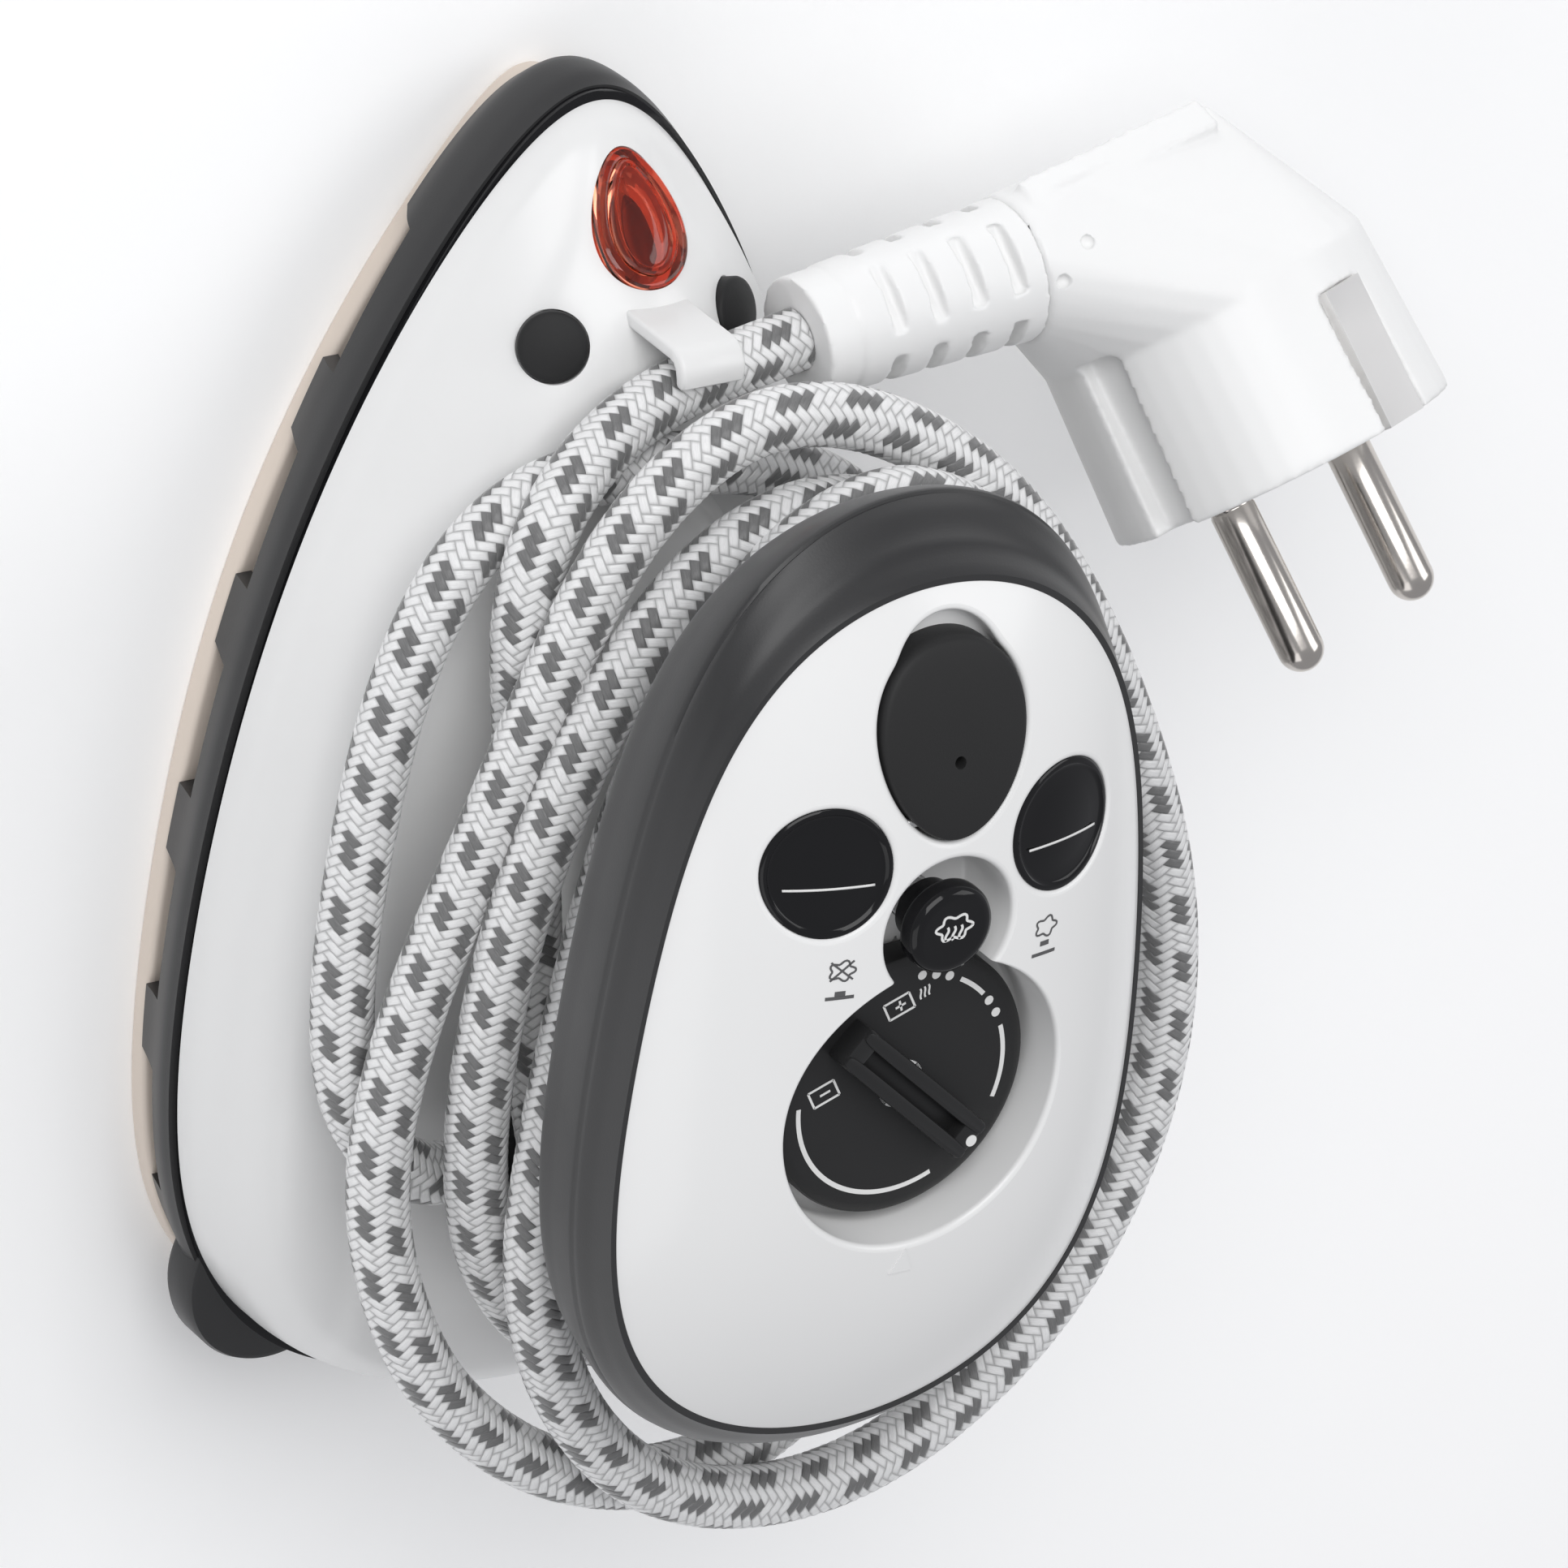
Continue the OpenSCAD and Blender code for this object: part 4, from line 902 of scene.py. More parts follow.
@dataclass
class Underside:
    """The ceramic sole, the slotted skirt and the black step over it."""

    points: int = 240
    hole_radius: float = 1.3
    hole_rows: tuple[tuple[float, float], ...] = ((52, 0), (44, 5), (33, 10), (20, 14), (6, 17), (-8, 18))
    slot_first: float = 58.3
    slot_pitch: float = 22.7
    slot_length: float = 15.3
    slot_top: float = 7.0
    skirt_top: float = 13.2
    step_drop: float = 0.9
    wall: float = 2.0
    foot_radius: float = 10.3
    foot_low: float = 7.6
    foot_out: float = 23.0
    foot_from_heel: float = 14.4

    def outline_rings(self, outline: Outline, length: float, width: float, middle: float,
                      pairs: list[tuple[float, float]]) -> np.ndarray:
        """Rings of one outline at (inset, height) pairs."""
        return np.stack([level(
            outline.ring(self.points, length - 2 * inset, width - 2 * inset, middle), z)
            for inset, z in pairs])

    def sole(self) -> None:
        """The soleplate, edges rounded, with its steam holes."""
        pairs = rounded(0.0, SOLE_TOP, 0.7)
        piece = loft("ceramic_soleplate", self.outline_rings(
            SOLE_OUTLINE, SOLE_LENGTH, SOLE_WIDTH, 0.0, pairs))
        profile = np.array([(0, -1), (self.hole_radius + 1.0, -1), (self.hole_radius, 0.6),
                            (self.hole_radius, SOLE_TOP + 1), (0, SOLE_TOP + 1)])
        cut(piece, [turned("hole", profile, stand(side * x, y, 0), 32)
                    for y, x in self.hole_rows for side in ((1,) if x == 0 else (-1, 1))])
        fit(piece, CERAMIC, "ceramic_sole", BODY, "sole_plate")

    def skirt_levels(self, inset: float) -> np.ndarray:
        """Skirt rings, drawn in by an inset, along a smooth profile of its levels."""
        levels = np.array([(2.9, HALF + 0.7, -HALF + 0.3, SOLE_WIDTH + 0.4),
                           (6.1, HALF + 3.1, -HALF - 0.6, SOLE_WIDTH + 2.2),
                           (10.0, HALF + 3.5, -HALF - 0.7, SOLE_WIDTH + 5),
                           (self.skirt_top - self.step_drop, HALF + 2.75, -HALF + 0.1,
                            SOLE_WIDTH + 5.5)])
        smooth = spline(levels, 5)
        return np.stack([level(SHELL_OUTLINE.ring(
            self.points, nose - heel - 2 * inset, width - 2 * inset, (nose + heel) / 2), z)
            for z, nose, heel, width in smooth])

    def skirt(self) -> None:
        """The dark skirt: an outer and an inner wall, slots, and two heel feet."""
        outer, inner = self.skirt_levels(0.0), self.skirt_levels(self.wall)
        piece = loft("slotted_skirt", np.concatenate([outer, inner[::-1]]), loop=True)
        slots = []
        for k in range(5):
            front = self.slot_first - k * self.slot_pitch
            ring = np.array([(front - self.slot_length - 0.5, -1), (front + 0.5, -1),
                             (front - 0.4, self.slot_top), (front - self.slot_length + 0.4, self.slot_top)])
            slots.append(prism("slot", ring, -SOLE_WIDTH, SOLE_WIDTH, SIDEWAYS))
        cut(piece, slots)
        feet = [self.foot(side) for side in (-1, 1)]
        piece = joined("slotted_skirt", [piece, *feet])
        fit(piece, SKIRT_GREY, "skirt", BODY, "heat_skirt")

    def foot(self, side: int) -> bpy.types.Object:
        """A round heel foot with eased edges."""
        r, low, high = self.foot_radius, self.foot_low, self.skirt_top - 0.2
        profile = np.array([(0, low), (r - 1, low), (r - 0.3, low + 0.3), (r, low + 1),
                            (r, high - 0.8), (r - 0.25, high - 0.25), (r - 0.8, high), (0, high)])
        return turned("foot", profile, stand(side * self.foot_out, -HALF + self.foot_from_heel, 0), 96)

    def step(self) -> None:
        """The glossy black step between skirt and shell."""
        low, high = self.skirt_top - self.step_drop - 0.8, self.skirt_top - 0.1
        pairs = [(0.0, low), (0.0, high - 0.1), (0.25, high), (2.2, high), (2.2, low)]
        piece = loft("gloss_step", self.outline_rings(
            SHELL_OUTLINE, SOLE_LENGTH + 3.2, SOLE_WIDTH + 3.6, 0.9, pairs), loop=True)
        fit(piece, BLACK_GLOSS, "black_gloss", BODY, "skirt_seal")

    def build(self) -> None:
        """Sole, skirt and step."""
        self.sole()
        self.skirt()
        self.step()


@dataclass
class ShellBody:
    """The white body with its lens, screw caps, cord hook and neck."""

    points: int = 288
    low: float = 13.15
    top: float = 31.0
    lens_place: Matrix = field(default_factory=lambda: stand(0, 63.3, 22.2, (-39.5, 0, 0)))
    lens_width: float = 9.0
    lens_length: float = 14.4
    cap_at: tuple[float, float, float] = (-10.8, 52.7, 25.6)
    cap_radius: float = 3.55
    hook_y: float = 55.4
    hood_rise: float = 0.55
    flute_depth: float = 0.7

    def cap_place(self, side: int) -> Matrix:
        """Where a screw cap stands: tipped to the nose, then outwards."""
        x, y, z = self.cap_at
        tilt = Matrix.Rotation(math.radians(-23), 4, "X") @ Matrix.Rotation(
            math.radians(side * 28), 4, "Y")
        return Matrix.Translation((-side * x, y, z)) @ tilt

    def lens_ring(self, grow: float, count: int = 96) -> np.ndarray:
        """The lens's drop outline: an ellipse drawn in towards its nose end."""
        a = TAU * np.arange(count) / count
        return np.stack([-(self.lens_width / 2 + grow) * np.sin(a) * (1.06 - 0.26 * np.cos(a)),
                         (self.lens_length / 2 + grow) * np.cos(a)], axis=1)

    def rings(self) -> np.ndarray:
        """The shell's outer form, with a raised hood along its back and soft side flutes."""
        levels = np.array([(self.low, HALF + 1.5, -HALF + 1.0, SOLE_WIDTH + 4.5),
                           (17, HALF - 0.7, -HALF + 1.2, SOLE_WIDTH + 4),
                           (21, HALF - 5.5, -HALF + 2.2, SOLE_WIDTH + 2.6),
                           (25, HALF - 10.5, -HALF + 4, SOLE_WIDTH),
                           (28, HALF - 15, -HALF + 6.5, SOLE_WIDTH - 4),
                           (30, HALF - 20, -HALF + 10.5, SOLE_WIDTH - 13),
                           (self.top, HALF - 27, -HALF + 17, SOLE_WIDTH - 27)])
        smooth = spline(levels, 6)
        flat = np.array([(self.top + 0.02 * k, HALF - 27 - 9 * k, -HALF + 17 + 9 * k,
                          SOLE_WIDTH - 27 - 8 * k) for k in (0.4, 1, 2, 3)])
        rows = np.vstack([smooth, flat])
        return self.sculpt(np.stack([level(
            SHELL_OUTLINE.ring(self.points, nose - heel, width, (nose + heel) / 2), z)
            for z, nose, heel, width in rows]))

    def sculpt(self, rings: np.ndarray) -> np.ndarray:
        """Raises the hood inside its crease line and sinks the flutes below it.

        The hood's half-width grows with distance from the nose; the step across it is a
        smooth ramp. A flute is a bell in height times a bell along the side.
        """
        x, y, z = rings[..., 0], rings[..., 1], rings[..., 2]
        half_width = np.interp(y, (-60, -20, 0, 21.5, 32, 50, 62, 72), (24, 27, 27.5, 26, 23, 14, 6.5, 2))
        share = ramp(half_width - np.abs(x), 0.9) * ramp(z - 16.5, 2.0)
        keep = 1 - ramp(z - (self.top - 0.4), 0.4)
        lift = self.hood_rise * share * keep
        flute = self.flute_depth * bell(z - 19.5, 2.6) * bell(y + 4, 34)
        away = np.sign(x) * np.clip(np.abs(x) / 30, 0, 1)
        out = rings.copy()
        out[..., 2] += lift - 0.45 * keep * ramp(z - 17, 1.5)
        out[..., 0] -= flute * away
        return out

    def shell(self) -> None:
        """The shell, opened for lens and caps."""
        piece = loft("white_body", self.rings(), sharp=50)
        cutters = [prism("lens_hole", self.lens_ring(0.12), -6, 8, self.lens_place)]
        for side in (-1, 1):
            r = self.cap_radius + 0.12
            profile = np.array([(0, -1.6), (r, -1.6), (r, 0.0), (r + 0.5, 1.5), (r + 0.5, 8), (0, 8)])
            cutters.append(turned("cap_hole", profile, self.cap_place(side), 64))
        cut(piece, cutters, sharp=50)
        fit(piece, SHELL_WHITE, "white_gloss", BODY, "body_shell")

    def lens_rows(self, pairs: list[tuple[float, float]]) -> np.ndarray:
        """Rings of the lens's drop outline at (growth, height) pairs."""
        return np.stack([level(self.lens_ring(grow), z) for grow, z in pairs])

    def lens(self) -> None:
        """The red drop lens: flange, groove, raised inner ring and a domed clear middle."""
        steps = [(0.0, -2.2), (0.0, 0.15), (-0.25, 0.42), (-0.7, 0.5), (-1.1, 0.42), (-1.2, 0.3),
                 (-1.3, 0.75), (-1.55, 1.0), (-1.85, 1.0), (-2.05, 0.8), (-2.3, 0.78), (-3.0, 0.98),
                 (-3.6, 1.05), (-4.2, 1.08)]
        piece = loft("drop_lens", place_points(self.lens_rows(steps), self.lens_place))
        fit(piece, LENS_RED, "lens", BODY, "indicator_lens")
        cup = self.lens_rows([(-0.4, -2.3), (-0.4, -4.6), (-2.6, -5.6), (-2.8, -5.4),
                              (-1.0, -4.4), (-0.9, -2.3)])
        glow = loft("lamp_cup", place_points(cup[::-1], self.lens_place), loop=True)
        fit(glow, LAMP_PALE, "lens", BODY)
        core = self.lens_rows([(-2.3, -4.2), (-1.9, -3.6), (-2.4, -2.7), (-3.4, -2.35)])
        core_place = self.lens_place @ Matrix.Translation((0.5, -1.2, 0))
        well = loft("lamp_well", place_points(core * (0.62, 0.8, 1.0), core_place))
        fit(well, LAMP_DARK, "lens", BODY)

    def caps(self) -> None:
        """Two round black caps, slightly crowned."""
        for side, node in ((-1, "screw_cap_left"), (1, "screw_cap_right")):
            r = self.cap_radius
            crown = [(r * s, 0.78 - 0.5 * s * s) for s in (0.92, 0.8, 0.6, 0.4, 0.2, 0.0)]
            profile = np.array([(0, -1.7), (r, -1.7), (r, 0.0), (r * 0.975, 0.22), *crown])
            piece = turned(node + "_face", profile, self.cap_place(side), 72)
            fit(piece, CAP_RUBBER, "black_rubber", BODY, node)

    def hook(self) -> None:
        """The white cord hook: a plate that leans over at its head, edges rounded."""
        low, high = node_box("cord_hook")
        y, top, half = self.hook_y, high[2], (high[0] - low[0]) / 2
        ring = np.array([(y - 0.8, low[2]), (y + 0.8, low[2]), (y + 0.8, top - 2.6),
                         (y + 0.55, top - 1.7), (y, top - 0.9), (y - 0.8, top - 0.3),
                         (y - 1.8, top), (y - 2.8, top - 0.05), (y - 3.2, top - 0.4),
                         (y - 3.0, top - 1.4), (y - 2.3, top - 1.5), (y - 1.5, top - 1.8),
                         (y - 0.95, top - 2.3), (y - 0.8, top - 3.0)])
        piece = prism("cord_keeper", ring, -half, half, SIDEWAYS)
        bevel = piece.modifiers.new("ease", "BEVEL")
        bevel.width, bevel.segments = 0.45 * MM, 3
        bevel.limit_method, bevel.angle_limit = "ANGLE", math.radians(40)
        settle(piece)
        fit(piece, SHELL_WHITE, "white_gloss", BODY, "cord_hook")

    def neck(self) -> None:
        """The waisted neck between body and disc."""
        levels = np.array([(31, 39.5, 30.5), (32.4, 38.1, 28.4), (35, 37, 26.5), (46, 35, 24),
                           (56, 36.5, 25.5), (59.5, 38.5, 28.4), (61.5, 40.5, 32)])
        smooth = spline(levels, 5)
        piece = loft("waisted_neck", np.stack([
            level(OVAL_OUTLINE.ring(144, 2 * half, width, 0.0), z) for z, half, width in smooth]))
        fit(piece, SHELL_WHITE, "white_gloss", BODY, "neck")

    def build(self) -> None:
        """Shell, lens, caps, hook and neck."""
        self.shell()
        self.lens()
        self.caps()
        self.hook()
        self.neck()


# ---- Palm disc ------------------------------------------------------------------------


def dome_height(x: np.ndarray, y: np.ndarray) -> np.ndarray:
    """Height of the cover at a place: its edge plus the rise times one minus share cubed.

    The share is how far the scaled cover outline that passes through the place has grown;
    it is found by halving an interval forty times.
    """
    x, y = np.abs(np.asarray(x, float)), np.asarray(y, float) - DISC_Y
    low = np.maximum(np.abs(y) / (COVER_LENGTH / 2), 1e-6)
    high = np.full_like(low, 1.6)
    for _ in range(40):
        mid = (low + high) / 2
        angle = np.arccos(np.clip(y / (mid * COVER_LENGTH / 2), -1, 1))
        wide = mid * COVER_WIDTH / 2 * DISC_OUTLINE.side(angle)
        low, high = np.where(wide < x, mid, low), np.where(wide < x, high, mid)
    share = (low + high) / 2
    return COVER_EDGE + CROWN_RISE * (1 - share**3)


@dataclass(frozen=True)
class Recess:
    """A recess sunk in the cover: a star outline round a middle.

    circles are (x, y, radius) that all hold the middle; their union is the outline. An
    egg is given by its half-length and half-width instead.
    """

    name: str
    middle: tuple[float, float]
    floor: float
    circles: tuple[tuple[float, float, float], ...] = ()
    egg: tuple[float, float, float] | None = None
    count: int = 240

    def reach(self) -> np.ndarray:
        """Distance of the outline from the middle at each angle.

        For circles it is the largest of the distances to each circle along the ray, with
        a soft maximum that rounds the cusps a little.
        """
        angle = TAU * np.arange(self.count) / self.count
        dx, dy = np.cos(angle), np.sin(angle)
        reaches = []
        if self.egg is not None:
            half_long, half_wide, egg_y = self.egg
            t = TAU * np.arange(1440) / 1440
            px = -half_wide * np.sin(t) * (1.02 + 0.14 * np.cos(t)) - self.middle[0]
            py = egg_y + half_long * np.cos(t) - self.middle[1]
            turn = np.arctan2(py, px)
            order = np.argsort(turn)
            reaches.append(np.interp((angle + math.pi) % TAU - math.pi, turn[order],
                                     np.hypot(px, py)[order], period=TAU))
        for cx, cy, r in self.circles:
            ox, oy = self.middle[0] - cx, self.middle[1] - cy
            along = ox * dx + oy * dy
            reaches.append(-along + np.sqrt(along**2 - ox**2 - oy**2 + r**2))
        stack = np.stack(reaches)
        return (stack**40).sum(axis=0) ** (1 / 40)

    def ring(self, grow: float) -> np.ndarray:
        """The outline moved outwards along its rays."""
        angle = TAU * np.arange(self.count) / self.count
        r = self.reach() + grow
        return np.stack([self.middle[0] + r * np.cos(angle), self.middle[1] + r * np.sin(angle)], axis=1)

    def cup(self, lip: float = 0.7) -> bpy.types.Object:
        """The recess's lining: a rounded lip, a wall, a filleted floor and its underside."""
        fillet, thick = 0.8, 0.9
        rows = []
        for t in np.linspace(0, math.pi / 2, 6):
            ring = self.ring(lip * (1 - math.sin(t)))
            rows.append(level(ring, dome_height(*ring.T) - lip * (1 - math.cos(t)) - 0.004))
        for t in np.linspace(0, math.pi / 2, 5):
            rows.append(level(self.ring(-fillet * (1 - math.cos(t))),
                              self.floor + fillet * (1 - math.sin(t))))
        ring = self.ring(0.0) * 0.02 + np.array(self.middle) * 0.98
        rows += [level(ring, self.floor), level(ring, self.floor - thick)]
        ring = self.ring(1.0)
        rows += [level(ring, self.floor - thick),
                 level(ring, np.maximum(dome_height(*ring.T) - 1.9, self.floor - 0.8))]
        return loft(self.name, np.stack(rows)[::-1], loop=True)

    def cutter(self, lip: float = 0.7) -> bpy.types.Object:
        """The opening that the lip starts from."""
        return prism(self.name + "_cut", self.ring(lip), self.floor - 6, CROWN + 5)


@dataclass
class PalmDisc:
    """The rubber rim, the white cover with its recesses, the windows and the print."""

    points: int = 288
    rim_levels: tuple[tuple[float, float, float, float], ...] = (
        (62.1, -6, -8, -0.5), (64.7, 4, -0.5, 0), (69, 9.5, 1.8, 0.8), (73, 11.5, 2.8, 1),
        (76.4, 7.4, 1.8, 0.6), (79, 1.4, 1.2, 0))
    floor: float = 78.6
    window_at: tuple[float, float] = ((WINDOW_LOW[0] + WINDOW_HIGH[0]) / 2,
                                      (WINDOW_LOW[1] + WINDOW_HIGH[1]) / 2)
    window_half: tuple[float, float] = ((WINDOW_HIGH[0] - WINDOW_LOW[0]) / 2,
                                        (WINDOW_HIGH[1] - WINDOW_LOW[1]) / 2)
    dial_y: float = DIAL_Y
    knob_y: float = KNOB_Y
    finger_radius: float = 6.2
    finger_reach: float = 2.1
    level_half: float = 4.6
    level_back: float = 1.4

    def rim(self) -> None:
        """The grip rim: a fat ring with a thumb hollow at the nose and a fine parting line."""
        smooth = spline(np.array(self.rim_levels), 9)
        angle = TAU * np.arange(self.points) / self.points
        nose = bell((angle + math.pi) % TAU - math.pi, 0.62)
        rows = []
        for z, longer, wider, shift in smooth:
            ring = DISC_OUTLINE.ring(self.points, COVER_LENGTH + longer, COVER_WIDTH + wider, DISC_Y + shift)
            sink = 2.0 * nose * ramp(np.array(z - 73.5), 2.2) * (1 - ramp(np.array(z - 78.3), 0.7))
            groove = 0.18 * bell(np.array(z - 73.4), 0.22)
            ring = ring * (1 - groove / 40)
            rows.append(level(ring, z - sink))
        lip = DISC_OUTLINE.ring(self.points, COVER_LENGTH + 0.1, COVER_WIDTH + 0.1, DISC_Y)
        inner = DISC_OUTLINE.ring(self.points, COVER_LENGTH - 16, COVER_WIDTH - 14, DISC_Y)
        rows += [level(lip, COVER_EDGE + 0.05), level(lip * 0.985, COVER_EDGE - 2.2),
                 level(inner, COVER_EDGE - 2.4), level(inner, self.rim_levels[0][0])]
        piece = loft("rubber_grip", np.stack(rows), loop=True, sharp=40)
        fit(piece, RUBBER_BLACK, "black_rubber", BODY, "grip_rim")

    def recesses(self) -> list[Recess]:
        """Dial and knob together, the filler's egg, and two windows."""
        x, y = self.window_at
        rx, ry = self.window_half
        return [
            Recess("control_well", (0, 11.6), self.floor,
                   ((0, self.dial_y, 15.8), (0, self.knob_y, 7.4)), count=360),
            Recess("filler_well", (0, FILLER_Y + 2), self.floor,
                   egg=(FILLER_HALF + 0.25, FILLER_WIDE + 0.25, FILLER_Y),
                   circles=((0, FILLER_Y + FILLER_HALF + self.finger_reach - self.finger_radius,
                             self.finger_radius),)),
            *[Recess(f"window_well_{k}", (side * x, y), self.floor + 1.6,
                     circles=((side * x, y, (rx + ry) / 2 - 0.15),))
              for k, side in enumerate((-1, 1))]]

    def cover(self) -> None:
        """The domed cover, its recesses lined with rounded lips."""
        edge, thick = COVER_EDGE - 1.6, 1.9
        rows = [level(DISC_OUTLINE.ring(self.points, COVER_LENGTH - inset, COVER_WIDTH - inset, DISC_Y),
                      edge) for inset in (4, 0)]
        outside = [(share, 0.0) for share in np.sin(np.linspace(math.pi / 2, 0.02, 44))]
        for share, drop in [*outside, *((share, thick) for share in (0.02, 0.5, 0.8, 0.93))]:
            ring = DISC_OUTLINE.ring(self.points, COVER_LENGTH * share, COVER_WIDTH * share, DISC_Y)
            rows.append(level(ring, COVER_EDGE + CROWN_RISE * (1 - share**3) - drop))
        piece = loft("white_cover", np.stack(rows), loop=True, sharp=40)
        wells = self.recesses()
        cut(piece, [well.cutter() for well in wells], sharp=40)
        piece = joined("white_cover", [piece, *[well.cup() for well in wells]])
        fit(piece, COVER_WHITE, "white_gloss", BODY, "top_cover")

    def window(self, side: int, node: str) -> None:
        """A black window: a raised bevelled rim round a crowned glass."""
        cx, cy = side * self.window_at[0], self.window_at[1]
        rx, ry = self.window_half
        angle = TAU * np.arange(96) / 96
        rows = []
        for share, lift in ((1.0, -3.6), (1.0, -0.45), (0.985, -0.2), (0.95, -0.1), (0.91, -0.12),
                            (0.89, -0.28), (0.86, -0.42), (0.82, -0.45), (0.6, -0.3), (0.35, -0.2),
                            (0.15, -0.15), (0.01, -0.14)):
            x, y = cx + share * rx * np.cos(angle), cy + share * ry * np.sin(angle)
            rows.append(np.column_stack([x, y, dome_height(x, y) + lift]))
        piece = loft(node + "_glass", np.stack(rows))
        fit(piece, BLACK_GLOSS, "black_gloss", BODY, node)
        t = np.linspace(-1, 1, 24)
        line = level(cx + self.level_half * t[:, None], cy - self.level_back)
        mark = self.print_line(f"level_line_{node}", line, 0.22, -0.16)
        fit(mark, PRINT_WHITE, "white_matte", BODY)

    def print_line(self, name: str, line: np.ndarray, width: float, lift: float) -> bpy.types.Object:
        """A thin raised print stroke that follows the cover."""
        return ribbon(name, line, width, (-0.05, 0.05), lambda p: dome_height(*p.T) + lift)

    def symbols(self) -> None:
        """Plain signs beside the knob: a puff of steam, crossed out on one side, and a bar."""
        strokes = []
        t = np.linspace(0, TAU, 40)
        for side in (-1, 1):
            cx, cy = side * 11.9, 14.6
            puff = np.column_stack([cx + (1.25 + 0.22 * np.cos(5 * t)) * np.cos(t),
                                    cy + (0.95 + 0.2 * np.cos(5 * t)) * np.sin(t)])
            strokes.append((puff, 0.2))
            if side < 0:
                for way in (-1, 1):
                    k = np.linspace(-1, 1, 8)
                    strokes.append((np.column_stack([cx + 1.2 * k, cy + way * 1.0 * k]), 0.2))
            base = cy - 2.9
            k = np.linspace(-1, 1, 8)
            strokes.append((np.column_stack([cx + 1.5 * k, base + 0 * k]), 0.35))
            rise = 0.45 if side < 0 else 1.1
            strokes.append((np.column_stack([cx + 0.55 * k, base + rise + 0 * k]), 0.5))
        piece = joined("printed_signs", [self.print_line(f"stroke_{i}", line, width, 0.0)
                                         for i, (line, width) in enumerate(strokes)])
        fit(piece, PRINT_GREY, "skirt", BODY)

    def pointer(self) -> None:
        """The faint raised pointer behind the dial."""
        ring = np.array([(-1.3, -21.8), (1.3, -21.8), (0.0, -19.0)])
        rows = np.stack([np.column_stack([ring, dome_height(*ring.T) + z]) for z in (-0.3, 0.14)])
        piece = loft("dial_pointer", rows)
        fit(piece, COVER_WHITE, "white_gloss", BODY)

    def build(self) -> None:
        """Rim, cover, windows and print."""
        self.rim()
        self.cover()
        self.window(-1, "window_left")
        self.window(1, "window_right")
        self.symbols()
        self.pointer()


